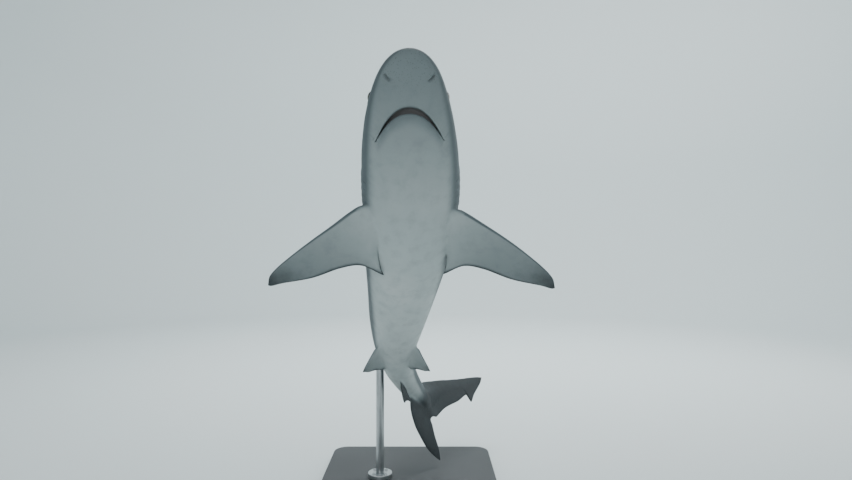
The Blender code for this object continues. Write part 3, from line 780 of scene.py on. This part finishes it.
def distance_from(points, marks):
    """How far each point is from the nearest mark."""
    tree = kdtree.KDTree(len(marks))
    for i, mark in enumerate(marks):
        tree.insert(mark, i)
    tree.balance()
    return np.array([tree.find(point)[2] for point in points])


def edge_ends(mesh):
    """The numbers of the two points of each edge."""
    return column(mesh.edges, "vertices", 2, np.int32)


def seam_points(mesh, crossing):
    """The middles of the edges whose two ends have fin numbers for which crossing is true."""
    ends = edge_ends(mesh)
    numbers = read(mesh, "fin").round()[ends]
    kept = ends[(numbers[:, 0] != numbers[:, 1]) & crossing(numbers)]
    return coordinates(mesh)[kept].mean(axis=1)


def relax_near(mesh, seam, passes):
    """Relaxes the points near the seam, in rings that grow smaller."""
    away = distance_from(coordinates(mesh), seam)
    bm = bmesh.new()
    bm.from_mesh(mesh)
    bm.verts.ensure_lookup_table()
    for reach, times in passes:
        near = [bm.verts[i] for i in np.flatnonzero(away < reach)]
        for _ in range(times):
            bmesh.ops.smooth_vert(bm, verts=near, factor=0.5, use_axis_x=True, use_axis_y=True,
                                  use_axis_z=True)
    bm.to_mesh(mesh)
    bm.free()
    return away


fin_seams = seam_points(skin.data, lambda numbers: (numbers >= TRUNK).all(axis=1))
lip_rims = seam_points(skin.data, lambda numbers: (numbers == MOUTH).any(axis=1))
seam_away = relax_near(skin.data, fin_seams, FILLETS)
tail_seams = fin_seams[body_place(fin_seams)[:, 0] > TAIL_START]
relax_near(skin.data, tail_seams, TAIL_FILLETS)
relax_near(skin.data, lip_rims, LIP_ROUNDING)
skin.data.shade_smooth()
print("seam points", len(fin_seams), "lip points", len(lip_rims))

# %% [markdown]
# ## Where the colours go
# A grey reef shark is dark above and pale below, with a rather sharp border along the flank. Its
# tail has a broad black rear edge, and its smaller fins and the undersides of the pectoral tips are
# dusky. Object coordinates could place these on a straight shark, but this one is bent, so its
# points are turned back into body places first. Each marking is a number between 0 and 1 at every
# point, kept as an attribute that the skin's material reads. Near the fins' roots the numbers are
# drawn together, so no tone ends in a hard edge at a seam.

# %% Tables of the markings, and how they are kept
BORDER = ((0, -0.40), (0.05, -0.54), (0.10, -0.64), (0.18, -0.68), (0.30, -0.66), (0.42, -0.56),
          (0.50, -0.54), (0.58, -0.56), (0.68, -0.60), (0.80, -0.60))  # as a share of the depth
BORDER_SOFTNESS = 0.24
# The grey of the underside in this table is partly the real skin's dusk under the snout and partly
# painted shade, darkest at the head and again towards the tail stock.
UNDERSIDE_GREY_AND_SHADE = ((0, 0.94), (0.05, 0.84), (0.10, 0.68), (0.16, 0.43), (0.23, 0.21), (0.31, 0.07),
            (0.40, 0.0), (0.50, 0.0), (0.60, 0.05), (0.68, 0.20), (0.74, 1.0))  # how grey the belly is
TAIL_BACK, TAIL_DUSKY = (0.690, 0.745), (0.690, 0.750)  # where these two close round the tail
TAIL_DUSK, CHIN_SHADE, PECTORAL_SHADE, PELVIC_SHADE = 0.72, 0.25, 0.80, 0.60
SIDE_LINE = 0.34  # the level of the lateral line, which thins away at both ends
SEAM_REACH, SOFTENINGS = 0.022, 14  # how near the fins' roots, in metres, and how many times
# How dusky each fin is: where the dark tip starts and ends along it, where the dark rear edge
# starts across it, how dark these are, and how dark the rest is.
DUSK = {
    PECTORAL_LEFT: (0.52, 1.00, 0.92, 0.66, 0), PECTORAL_RIGHT: (0.52, 1.00, 0.92, 0.66, 0),
    PELVIC_LEFT: (0.40, 1.00, 0.86, 0.50, 0), PELVIC_RIGHT: (0.40, 1.00, 0.86, 0.50, 0),
    DORSAL_2: (0.20, 0.95, 0.80, 0.75, 0.15), ANAL_FIN: (0.10, 0.90, 0.70, 0.85, 0.65),
    DORSAL_1: (0.90, 1.05, 0.97, 0.25, 0), LOBE_UPPER: (0.80, 1.00, 0.55, 1.00, 0.72),
    LOBE_LOWER: (0.15, 0.80, 0.50, 1.00, 0.74)}


def softened(mesh, values, near, times):
    """The values, with those of the near points drawn towards their neighbours' some times."""
    first, second = edge_ends(mesh).T
    count = np.bincount(edge_ends(mesh).ravel(), minlength=len(values))
    for _ in range(times):
        total = np.bincount(first, values[second], len(values))
        total += np.bincount(second, values[first], len(values))
        values = np.where(near, (values + total / count) / 2, values)
    return values


def keep(name, values, times=0):
    """Stores the values as an attribute of the skin's points, softened this many times."""
    values = np.clip(values, 0, 1).astype(float)
    values = softened(skin.data, values, seam_away < SEAM_REACH, times)
    store(skin.data, name, values)
    print(f"{name}: mean {np.mean(values):.3f}")


print("dusky fins", len(DUSK))

# %% [markdown]
# The level is the height as a share of the trunk's there: 1 on the back and -1 under the belly. On
# a fin, along runs from its root to its tip and across from its front edge to its rear one. The
# tail's core takes the upper lobe's tones.

# %% Places of the skin's points
numbers = read(skin.data, "fin").round()
in_core = numbers == CORE
numbers[in_core] = LOBE_UPPER
on_fin, on_trunk, in_mouth = numbers > TRUNK, numbers == TRUNK, numbers == MOUTH
flat_fins = np.isin(numbers, (PECTORAL_LEFT, PECTORAL_RIGHT, PELVIC_LEFT, PELVIC_RIGHT))
station, side, height = body_place(coordinates(skin.data)).T
root = np.sqrt(np.clip(station, 1e-6, SECTIONS[-1][0]))
level = height / np.where(height >= 0, height_at(root), depth_at(root))
along = np.where(on_fin, read(skin.data, "along"), 0)
turn = read(skin.data, "turn")
across = (1 - np.cos(2 * np.pi * turn)) / 2
along[in_core], across[in_core] = ((station - 0.75) / 0.23).clip(0, 1)[in_core], 0.35
print("points on fins", on_fin.sum(), "on the trunk", on_trunk.sum(), "in the mouth", in_mouth.sum())

# %% [markdown]
# The dark back closes round the tail. The flat fins are dark above and pale below, and the dark
# upper side wraps a little round their edges.

# %% The back, the dusky fins and the pale edge
border = even_curve(BORDER)(np.clip(station, 0, 0.8))
trunk_back = smooth_step(border - BORDER_SOFTNESS, border + BORDER_SOFTNESS, level)
trunk_back = np.maximum(trunk_back, smooth_step(*TAIL_BACK, station))
over = smooth_step(-0.15, 0.15, np.sin(2 * np.pi * turn))
edge_wrap = np.maximum(smooth_step(0.035, 0.010, across), 0.7 * smooth_step(0.93, 0.985, across))
fin_back = np.where(flat_fins, np.maximum(over, edge_wrap), 1)
keep("back", np.where(on_fin, fin_back, trunk_back), SOFTENINGS)

dusk = TAIL_DUSK * smooth_step(*TAIL_DUSKY, station) * on_trunk
for number, (tip_from, tip_to, edge_from, darkest, least) in DUSK.items():
    here = numbers == number
    tip = smooth_step(tip_from, tip_to, along)
    edge = smooth_step(edge_from - 0.10, edge_from + 0.08, across) * smooth_step(0.03, 0.2, along)
    dusk[here] = (least + (darkest - least) * np.maximum(tip, edge))[here]
keep("dusk", dusk, SOFTENINGS)
keep("pale", smooth_step(0.955, 0.985, across) * smooth_step(0.25, 0.45, along)
     * (numbers == DORSAL_1))

# %% [markdown]
# The underside is painted greyest at the head and under the fins' tips: partly the dusk of the real
# skin and partly painted shade, with a painted shadow of the upper lip on the chin. Slits and
# nostrils are darkened where they are deep, which is painted shade, and the mouth's lining is laid
# on the more thickly the deeper it is, partly its own tone and partly painted shade. The last
# numbers are for the fins' rays, the lateral line and the pores under the snout.

# %% The underside's shade, the hollows and the lines
# Painted shadow: just behind the mouth the chin is darkened, as the overhanging upper lip would shade
# it.
behind = (station - arch_station(side)) * LENGTH
chin = smooth_step(0.045, 0.008, behind) * (behind > 0) * (height < 0)
chin *= smooth_step(MOUTH_HALF_WIDTH * 1.05, MOUTH_HALF_WIDTH * 0.8, np.abs(side))
shade = even_curve(UNDERSIDE_GREY_AND_SHADE)(np.clip(station, 0, UNDERSIDE_GREY_AND_SHADE[-1][0])) + CHIN_SHADE * chin
# Painted shade, partly real dusk: the pectoral and pelvic fins' undersides grey towards their tips.
fin_shade = np.where(numbers < PELVIC_LEFT, PECTORAL_SHADE, PELVIC_SHADE)
shade[flat_fins] = (fin_shade * smooth_step(-0.25, 0.75, along))[flat_fins]
keep("shade", shade, SOFTENINGS)

surface = belly_height(np.clip(station, 1e-6, 0.2), side)
deep = LENGTH * (height - surface)
# Painted shade: the gill slits and the nostrils are darkened by how deep they are.
painted_hollow_shade = smooth_step(0.0005, 0.0040, -gill_relief(station, side, height)) * 0.9
painted_hollow_shade += smooth_step(0.0010, 0.0060, -nostril_relief(station, side, height)) * 0.45
keep("painted_hollow_shade", on_trunk * painted_hollow_shade)
# The mouth's lining tone is laid on by depth: partly its own colour, partly painted shade deeper in.
keep("lining_and_painted_shade", np.where(in_mouth, smooth_step(0.0010, 0.0160, deep), 0))

keep("ray", np.where(on_fin & ~in_core, across, 0), 6)
thinning = 1 + 60 * (1 - smooth_step(0.15, 0.21, station) * smooth_step(0.76, 0.69, station))
keep("line", 0.5 + 0.5 * (level - SIDE_LINE) * thinning)
keep("foot", smooth_step(0.06, 0.015, station) * (height < 0) * on_trunk, SOFTENINGS)

# %% [markdown]
# ## Shader maths in Python
# A material is a web of nodes. Written out link by link it is hard to read, so a small class wraps a
# socket and takes the usual signs: an expression on wrapped sockets adds the Math nodes for it. One
# method adds any other node: its kind, its settings, and then what goes into its sockets.

# %% Wrapped sockets
class Wire:
    """A socket that can be used in arithmetic."""
    def __init__(self, finish, socket):
        self.finish, self.socket = finish, socket

    def maths(self, operation, *values):
        """A Math node for this operation on the values."""
        return self.finish.node("ShaderNodeMath", {"operation": operation},
                                dict(enumerate(values)))

    def __add__(self, other):
        return self.maths("ADD", self, other)

    def __sub__(self, other):
        return self.maths("SUBTRACT", self, other)

    def __rsub__(self, other):
        return self.maths("SUBTRACT", other, self)

    def __mul__(self, other):
        return self.maths("MULTIPLY", self, other)

    def __pow__(self, other):
        return self.maths("POWER", self, other)

    __radd__, __rmul__ = __add__, __mul__

    def rise(self, low, high):
        """0 below low and 1 above high, with a smooth rise between them."""
        return self.finish.node("ShaderNodeMapRange", {"interpolation_type": "SMOOTHSTEP"},
                                {"Value": self, "From Min": low, "From Max": high})


class Finish:
    """A material in the making, with its shader's constant sockets set by name."""
    def __init__(self, name, **constants):
        self.material = bpy.data.materials.new(name)
        self.material.use_nodes = True
        self.tree = self.material.node_tree
        self.shader = self.tree.nodes["Principled BSDF"]
        self.feed(**constants)

    def set(self, node, socket, value):
        if isinstance(value, Wire):
            self.tree.links.new(value.socket, node.inputs[socket])
        elif isinstance(value, tuple) and len(value) == 3 and node.inputs[socket].type == "RGBA":
            node.inputs[socket].default_value = (*value, 1)
        else:
            node.inputs[socket].default_value = value

    def node(self, kind, settings=None, inputs=None, output=0):
        made = self.tree.nodes.new(kind)
        for name, value in (settings or {}).items():
            setattr(made, name, value)
        for socket, value in (inputs or {}).items():
            self.set(made, socket, value)
        return Wire(self, made.outputs[output])

    def feed(self, **inputs):
        """Sets or links the shader's sockets of these names."""
        for socket, value in inputs.items():
            self.set(self.shader, socket.replace("_", " "), value)

    def attribute(self, name, output="Fac"):
        return self.node("ShaderNodeAttribute", {"attribute_name": name}, output=output)

    def place(self):
        return self.node("ShaderNodeTexCoord", output="Object")

    def noise(self, scale, detail, rough=0.6, at=None):
        return self.node("ShaderNodeTexNoise", None, {
            "Vector": at or self.place(), "Scale": scale, "Detail": detail, "Roughness": rough})

    def cells(self, scale):
        return self.node("ShaderNodeTexVoronoi", None, {"Vector": self.place(), "Scale": scale},
                         output="Distance")

    def blend(self, amount, first, second):
        """The first colour where amount is 0 and the second where it is 1."""
        return self.node("ShaderNodeMix", {"data_type": "RGBA"},
                         {0: amount, 6: first, 7: second}, output=2)

    def bump(self, height, distance, under=None, strength=1.0):
        inputs = {"Height": height, "Distance": distance, "Strength": strength}
        return self.node("ShaderNodeBump", None, {**inputs, **({"Normal": under} if under else {})})


print("shader helpers ready")

# %% [markdown]
# ## Skin
# Real shark skin is matt and fine-grained, because it is covered in tiny scales. They are far too
# small to model, so a fine noise in the bump stands for them. A museum's cast is painted with soft
# cloudy variation within each colour, a border that is broken up a little, and a thin satin coat.
# Each marking is one more layer of paint, laid on as thickly as its attribute says. The pores under
# the snout are small dark dots.

# %% The skin's finish
DARK_BACK, PALE_BACK = (0.090, 0.110, 0.120), (0.145, 0.168, 0.178)
DARK_BELLY, PALE_BELLY = (0.53, 0.585, 0.58), (0.64, 0.685, 0.675)
PORE_SCALE, RAY_WAVES = 260.0, 420.0

paint = Finish("shark skin", Roughness=0.6, Coat_Weight=0.05, Coat_Roughness=0.4,
               Specular_IOR_Level=0.22)
clouds, patches, grain = (paint.noise(scale, detail) for scale, detail in
                          ((7.0, 5.0), (38.0, 4.0), (420.0, 3.0)))
cloudy = clouds.rise(0.30, 0.70)
border_break = (patches - 0.5) * 0.35 + (clouds - 0.5) * 0.25
back_mask = (paint.attribute("back") + border_break * 0.45).rise(0.08, 0.92)
dusk_mask = (paint.attribute("dusk") + (patches - 0.5) * 0.2).rise(0.08, 0.80)
shade = paint.attribute("shade") + (clouds - 0.5) * 0.2
line = paint.attribute("line")
line = line.rise(0.488, 0.500) * (1 - line.rise(0.500, 0.512)) * (patches - 0.2).rise(0.0, 0.3)
pores = paint.cells(PORE_SCALE).rise(0.26, 0.16) * paint.attribute("foot")
colour = paint.blend(back_mask, paint.blend(cloudy, DARK_BELLY, PALE_BELLY),
                     paint.blend(cloudy, DARK_BACK, PALE_BACK))
for amount, tone in (
        ((patches - 0.42).rise(0.0, 0.35) * 0.25, (0.22, 0.25, 0.26)),  # blotches
        # painted shade, partly real dusk: the underside's grey at the head, the tail stock and the flat
        # fins
        (shade * 0.90, (0.120, 0.143, 0.152)),
        (dusk_mask * 0.95, (0.026, 0.031, 0.035)),
        (paint.attribute("pale") * 0.7, (0.62, 0.65, 0.64)),
        (line * 0.30, (0.30, 0.33, 0.34)),
        (pores * 0.6, (0.10, 0.11, 0.115)),
        # painted shade in the gill slits and the nostrils
        (paint.attribute("painted_hollow_shade"), (0.060, 0.056, 0.057)),
        # the mouth's lining: partly its own colour, partly painted shade that deepens inwards
        (paint.attribute("lining_and_painted_shade") * 0.85, (0.270, 0.245, 0.243))):
    colour = paint.blend(amount, colour, tone)
ray = paint.attribute("ray")
relief = paint.bump(ray.maths("SINE", ray * RAY_WAVES) * ray.rise(0.04, 0.2), 0.00008)
relief = paint.bump(grain, 0.0005, relief, strength=0.6)
paint.feed(Base_Color=colour, Roughness=0.50 + patches * 0.24, Normal=relief)
skin.data.materials.clear()
skin.data.materials.append(paint.material)
print("skin nodes", len(paint.tree.nodes))

# %% [markdown]
# ## Eyes
# A shark's eye is a hard dark ball with a slightly domed cornea, a brassy iris and an upright slit
# of a pupil. A clear shell over a sunken iris would look deeper from very near, but on an eye of
# this size one glossy ball does as well. It is a fine sphere whose pole faces out of the head, with
# the pole pushed out a little. The ball keeps its own directions in an attribute, so that one
# finish serves both eyes.

# %% Make the eyeballs
CORNEA_RISE, CORNEA_HALF = 0.0007, 0.62


def make_eyeball(name, hand):
    centre, axis = eye_frame(hand)
    step = 0.01
    middle, ahead, above = (Vector(point) for point in place(
        np.array([centre, centre + axis * step, centre + (0, 0, step)])))
    out = (ahead - middle).normalized()
    up = ((above - middle) - out * (above - middle).dot(out)).normalized()
    turn = Matrix((up.cross(out), up, out)).transposed()
    bm = bmesh.new()
    bmesh.ops.create_uvsphere(bm, u_segments=64, v_segments=48, radius=1.0)
    own = [vert.co.copy() for vert in bm.verts]
    for vert in bm.verts:
        dome = CORNEA_RISE * math.exp(-(vert.co.xy.length / CORNEA_HALF) ** 4) * (vert.co.z > 0)
        vert.co = vert.co * (EYE_RADIUS * LENGTH + dome)
    bmesh.ops.transform(bm, verts=bm.verts, matrix=Matrix.Translation(middle) @ turn.to_4x4())
    ball = finished(name, bm)
    store(ball.data, "eye_place", own, "FLOAT_VECTOR")
    return ball


eyeballs = {hand: make_eyeball(name, hand) for name, hand in
            (("eyeball_left", 1), ("eyeball_right", -1))}
print("eyes", [ball.name for ball in eyeballs.values()])

# %% [markdown]
# The finish reads the ball's own directions: x across the eye and y up it. The distance from the
# pole makes the round iris, and a tall narrow ellipse about the pole makes the pupil.

# %% The eyes' finish
eye_glass = Finish("eye", Roughness=0.06, IOR=1.45, Coat_Weight=1.0, Coat_Roughness=0.03)
eye_place = eye_glass.attribute("eye_place", "Vector")
split = eye_glass.node("ShaderNodeSeparateXYZ", None, {0: eye_place}).socket.node
x, y = (Wire(eye_glass, split.outputs[axis]) for axis in "XY")
away = (x * x + y * y) ** 0.5
flecks = eye_glass.noise(30.0, 5.0, at=eye_place)
iris = eye_glass.blend(flecks.rise(0.35, 0.65), (0.085, 0.080, 0.045), (0.21, 0.20, 0.115))
iris = eye_glass.blend(away.rise(0.46, 0.60), iris, (0.012, 0.012, 0.010))
pupil = 1 - ((x * x) * 60.0 + (y * y) * 7.5).rise(0.80, 1.05)
iris = eye_glass.blend(pupil, iris, (0.003, 0.003, 0.004))
eye_glass.feed(Base_Color=iris)
for ball in eyeballs.values():
    ball.data.materials.append(eye_glass.material)
    print(ball.name, len(ball.data.polygons), "faces")

# %% [markdown]
# ## The stand
# A museum holds such a model from behind, so that the belly is clear: a painted board, a screwed
# steel foot and one bent steel rod, with a short sleeve where the rod goes into the back. The rod
# could be a bevelled curve. Here it is a circle that is extruded up, spun round the bend and
# extruded forward, into the shark, which are the steps that one would take by hand.

# %% Sizes of the stand, and its bent rod
BASE_SIZE, BASE_CORNER, BASE_BEVEL, BASE_FOOT_BEVEL = (0.52, 0.92, 0.030), 0.045, 0.004, 0.0012
POST_RADIUS, POST_FOOT, POST_HEIGHT = 0.0120, Vector((-0.088, 0.190, 0.0)), 0.578
POST_BEND_RADIUS, POST_STATION = 0.070, 0.480
FLANGE_RADIUS, FLANGE_HEIGHT, FOOT_GAP = 0.036, 0.012, 0.0003
SCREW_CIRCLE, SCREW_RADIUS, SCREW_HEIGHT = 0.0245, 0.0048, 0.0028
SLEEVE_RADIUS, SLEEVE_SHOWN, SLEEVE_SUNK = 0.0165, 0.014, 0.022
COLLAR_BEVEL = 0.0012
UPWARD = Vector((0, 0, 1))


def of_kind(geometry, kind):
    return [item for item in geometry if isinstance(item, kind)]


def extruded(bm, edges, move):
    """Extrudes the edges by this move. It gives the new edges and points."""
    made = bmesh.ops.extrude_edge_only(bm, edges=edges)["geom"]
    edges, verts = of_kind(made, bmesh.types.BMEdge), of_kind(made, bmesh.types.BMVert)
    bmesh.ops.translate(bm, verts=verts, vec=move)
    return edges, verts


def crisp(name, bm, degrees):
    """An object whose edges sharper than this many degrees stay crisp in the shading."""
    made = finished(name, bm)
    made.data.set_sharp_from_angle(angle=math.radians(degrees))
    return made


def make_rod(foot, bend_start, forward, reach):
    bm = bmesh.new()
    bmesh.ops.create_circle(bm, segments=48, radius=POST_RADIUS, matrix=Matrix.Translation(foot))
    edges, _ = extruded(bm, list(bm.edges), bend_start - foot)
    bent = bmesh.ops.spin(bm, geom=edges, cent=bend_start + forward * POST_BEND_RADIUS,
                          axis=UPWARD.cross(forward), angle=math.pi / 2, steps=24)
    extruded(bm, of_kind(bent["geom_last"], bmesh.types.BMEdge), forward * reach)
    seal(bm)
    return crisp("post_rod", bm, 40)


foot = POST_FOOT + UPWARD * (BASE_SIZE[2] + FOOT_GAP)
inside = Vector(place([(POST_STATION, 0, 0)])[0])
forward = Vector((inside.x - foot.x, inside.y - foot.y, 0))
reach = forward.length - POST_BEND_RADIUS
forward.normalize()
bend_start = Vector((foot.x, foot.y, POST_HEIGHT - POST_BEND_RADIUS))
post = make_rod(foot, bend_start, forward, reach)
print(post.name, len(post.data.polygons), "faces")

# %% [markdown]
# The board is a cube that is stretched to its size. A Bevel modifier would round all its edges
# alike, so the upright ones are bevelled first and widely, and then those round its top and its
# bottom.

# %% The board
def bevelled(bm, edges, offset, segments):
    bmesh.ops.bevel(bm, geom=edges, offset=offset, segments=segments, profile=0.5,
                    affect="EDGES", material=-1)


def make_base():
    bm = bmesh.new()
    thick, close = BASE_SIZE[2], 1e-4
    stretched = Matrix.Translation(UPWARD * thick / 2) @ Matrix.Diagonal((*BASE_SIZE, 1))
    bmesh.ops.create_cube(bm, size=1.0, matrix=stretched)
    for chosen, offset, segments in (
            (lambda low, high: high - low > close, BASE_CORNER, 24),
            (lambda low, high: low > thick - close, BASE_BEVEL, 6),
            (lambda low, high: high < close, BASE_FOOT_BEVEL, 2)):
        edges = [e for e in bm.edges if chosen(*sorted(v.co.z for v in e.verts))]
        bevelled(bm, edges, offset, segments)
    return crisp("base_plate", bm, 40)


base = make_base()
print(base.name, len(base.data.polygons), "faces")

# %% [markdown]
# A collar round the rod is two circles bridged to a flat ring, which is then raised. One is the
# flange on the board, held by four screws. The other is the sleeve, and a ray along the rod finds
# where the back's skin is for it.

# %% The flange, its screws and the sleeve
def collar(name, at, outer, height):
    """A ring round the rod, standing this high on the matrix's Z, with softened rims."""
    bm = bmesh.new()
    edges = set()
    for radius in (POST_RADIUS + FOOT_GAP, outer):
        for vert in bmesh.ops.create_circle(bm, segments=96, radius=radius, matrix=at)["verts"]:
            edges.update(vert.link_edges)
    flat = bmesh.ops.bridge_loops(bm, edges=list(edges))["faces"]
    lifted = bmesh.ops.extrude_face_region(bm, geom=flat, use_keep_orig=True)["geom"]
    top = of_kind(lifted, bmesh.types.BMVert)
    bmesh.ops.translate(bm, verts=top, vec=at.to_3x3() @ Vector((0, 0, height)))
    across = (outer - POST_RADIUS) / 2  # longer than a rim's edge, shorter than one over the ring
    rim = {e for v in top for e in v.link_edges if all(end in top for end in e.verts)
           and e.calc_length() < across}
    bevelled(bm, list(rim), COLLAR_BEVEL, 4)
    return crisp(name, bm, 50)


def make_sleeve():
    start = bend_start + (forward + UPWARD) * POST_BEND_RADIUS
    bpy.context.view_layer.update()  # otherwise the ray misses the new skin
    found, entry = skin.ray_cast(start, forward)[:2]
    print("rod enters the back at", tuple(round(c, 3) for c in entry), found)
    turn = (-forward).to_track_quat("Z", "Y").to_matrix().to_4x4()
    at = Matrix.Translation(entry + forward * SLEEVE_SUNK) @ turn
    return collar("post_sleeve", at, SLEEVE_RADIUS, SLEEVE_SUNK + SLEEVE_SHOWN)


def make_screws():
    """Four screw heads, each with a recess."""
    bm = bmesh.new()
    for quarter in range(4):
        angle = math.radians(45 + 90 * quarter)
        spot = foot + Vector((math.cos(angle), math.sin(angle), 0)) * SCREW_CIRCLE
        at = Matrix.Translation(spot + UPWARD * (FLANGE_HEIGHT + FOOT_GAP + SCREW_HEIGHT / 2))
        head = bmesh.ops.create_cone(bm, segments=36, radius1=SCREW_RADIUS,
                                     radius2=SCREW_RADIUS * 0.8, depth=SCREW_HEIGHT, cap_ends=True,
                                     matrix=at)
        cap = max({f for v in head["verts"] for f in v.link_faces},
                  key=lambda face: face.calc_center_median().z)
        bmesh.ops.inset_individual(bm, faces=[cap], thickness=SCREW_RADIUS * 0.32)
        bmesh.ops.inset_individual(bm, faces=[cap], thickness=0.0001)
        bmesh.ops.translate(bm, verts=cap.verts, vec=(0, 0, -SCREW_HEIGHT * 0.6))
    return crisp("flange_screws", bm, 35)


flange = collar("flange_ring", Matrix.Translation(foot), FLANGE_RADIUS, FLANGE_HEIGHT)
screws = make_screws()
sleeve = make_sleeve()
for made in (flange, screws, sleeve):
    print(made.name, len(made.data.polygons), "faces")

# %% [markdown]
# ## The stand's finishes
# The board has a sprayed, slightly pebbled charcoal paint, with a faint drift in its tone. The
# steel is brushed, and an anisotropic gloss could show that, but a noise that is stretched upwards
# shows the strokes themselves. The steel has faint marks as well.

# %% Paint and steel
board_paint = Finish("board paint", Roughness=0.6)
spray = board_paint.noise(900.0, 2.0, 0.5)
drift = board_paint.noise(5.0, 4.0)
tone = board_paint.blend(drift.rise(0.3, 0.7), (0.050, 0.053, 0.057), (0.070, 0.074, 0.079))
board_paint.feed(Base_Color=tone, Roughness=0.52 + drift * 0.16,
                 Normal=board_paint.bump(spray, 0.0004, strength=0.5))
base.data.materials.append(board_paint.material)

steel = Finish("brushed steel", Metallic=1.0, Roughness=0.3)
brushed = steel.node("ShaderNodeMapping", None, {"Vector": steel.place(), "Scale": (900.0, 900.0, 14.0)})
lines = steel.noise(1.0, 3.0, at=brushed)
marks = steel.noise(24.0, 4.0)
steel_tone = steel.blend(marks.rise(0.3, 0.7), (0.46, 0.47, 0.48), (0.56, 0.57, 0.575))
steel.feed(Base_Color=steel_tone, Roughness=0.22 + lines * 0.14 + marks * 0.06,
           Normal=steel.bump(lines, 0.00008, strength=0.5))
for made in (post, flange, screws, sleeve):
    made.data.materials.append(steel.material)
print("stand finished")

# %% [markdown]
# ## Studio
# A plain room shows the model best. A flat floor would end in a hard line against the wall, so a
# pale round floor runs up into a pale wall in one curve, and it is plain from every side. The light
# is soft and mostly from above and behind, so that the belly stands in a mild shade, as it does on
# a fish seen from below.

# %% Floor, wall and lights
FLOOR_RADIUS, COVE_RADIUS, COVE_STEPS, WALL_HEIGHT = 4.4, 1.6, 24, 3.0


def make_studio():
    bm = bmesh.new()
    rim = bmesh.ops.create_circle(bm, cap_ends=True, segments=96, radius=FLOOR_RADIUS)["verts"]
    edges = list({e for v in rim for e in v.link_edges})
    for step in range(1, COVE_STEPS + 1):
        angle = math.pi / 2 * step / COVE_STEPS
        rise = COVE_RADIUS * (1 - math.cos(angle)) - rim[0].co.z
        edges, rim = extruded(bm, edges, UPWARD * rise)
        out = (FLOOR_RADIUS + COVE_RADIUS * math.sin(angle)) / rim[0].co.xy.length
        bmesh.ops.scale(bm, verts=rim, vec=(out, out, 1))
    extruded(bm, edges, UPWARD * WALL_HEIGHT)
    studio = finished("studio", bm)
    studio.data.flip_normals()
    return studio


studio = make_studio()
backdrop_paint = Finish("backdrop", Roughness=0.9, Base_Color=(0.70, 0.76, 0.775))
studio.data.materials.append(backdrop_paint.material)

LIGHTS = (  # name, place, aim, width and height, watts, colour
    ("overhead", (0.3, 0.9, 3.2), (0, 0.1, 0.5), (3.0, 2.4), 90, (0.97, 1.0, 1.0)),
    ("wall wash", (0.9, 1.6, 3.6), (0.5, 5.5, 1.6), (4.0, 1.2), 210, (0.95, 1.0, 1.0)),
    ("front fill", (-0.5, -3.2, 0.9), (0, 0, 0.6), (2.2, 1.4), 22, (0.92, 0.98, 1.0)),
    ("right rim", (2.6, 1.5, 1.9), (0, 0, 0.6), (1.6, 1.6), 14, (1.0, 0.99, 0.95)),
)
for name, at, aim, size, watts, tint in LIGHTS:
    data = bpy.data.lights.new(name, "AREA")
    data.shape, data.size, data.size_y = "RECTANGLE", *size
    data.energy, data.color = watts, tint
    lamp = bpy.data.objects.new(name, data)
    lamp.location = at
    lamp.rotation_euler = (Vector(aim) - Vector(at)).to_track_quat("-Z", "Y").to_euler()
    bpy.context.scene.collection.objects.link(lamp)

world = bpy.data.worlds.new("studio air")
world.use_nodes = True
world.node_tree.nodes["Background"].inputs["Color"].default_value = (0.80, 0.92, 0.95, 1)
world.node_tree.nodes["Background"].inputs["Strength"].default_value = 0.35
bpy.context.scene.world = world
print("lights", len(LIGHTS))

# %% [markdown]
# ## What replaces what
# The finished skin stands for every flesh solid, each eyeball for its own solid, and the new stand
# pieces for the stand's. Each is hung from the root's empty, and the solids it stands for are hidden.

# %% Tie the pieces to the frame
FLESH = ("head", "lower_jaw", "gill_region", "trunk_front", "trunk_rear", "tail_base", "tail_stock",
         "dorsal_fin_first", "dorsal_fin_second", "anal_fin", "caudal_lower_lobe",
         "caudal_upper_lobe", "pectoral_fin_left", "pectoral_fin_right", "pelvic_fin_left",
         "pelvic_fin_right")
for piece, slot, nodes in (
        (skin, "skin", FLESH),
        (eyeballs[1], "eye", ("eye_left",)),
        (eyeballs[-1], "eye", ("eye_right",)),
        (base, "base_paint", ("stand_base",)),
        (post, "post_steel", ("stand_post",)),
        (flange, "post_steel", ("stand_flange",)),
        (screws, "post_steel", ()),
        (sleeve, "post_steel", ())):
    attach(piece, "root")
    if nodes:
        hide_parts(*nodes)
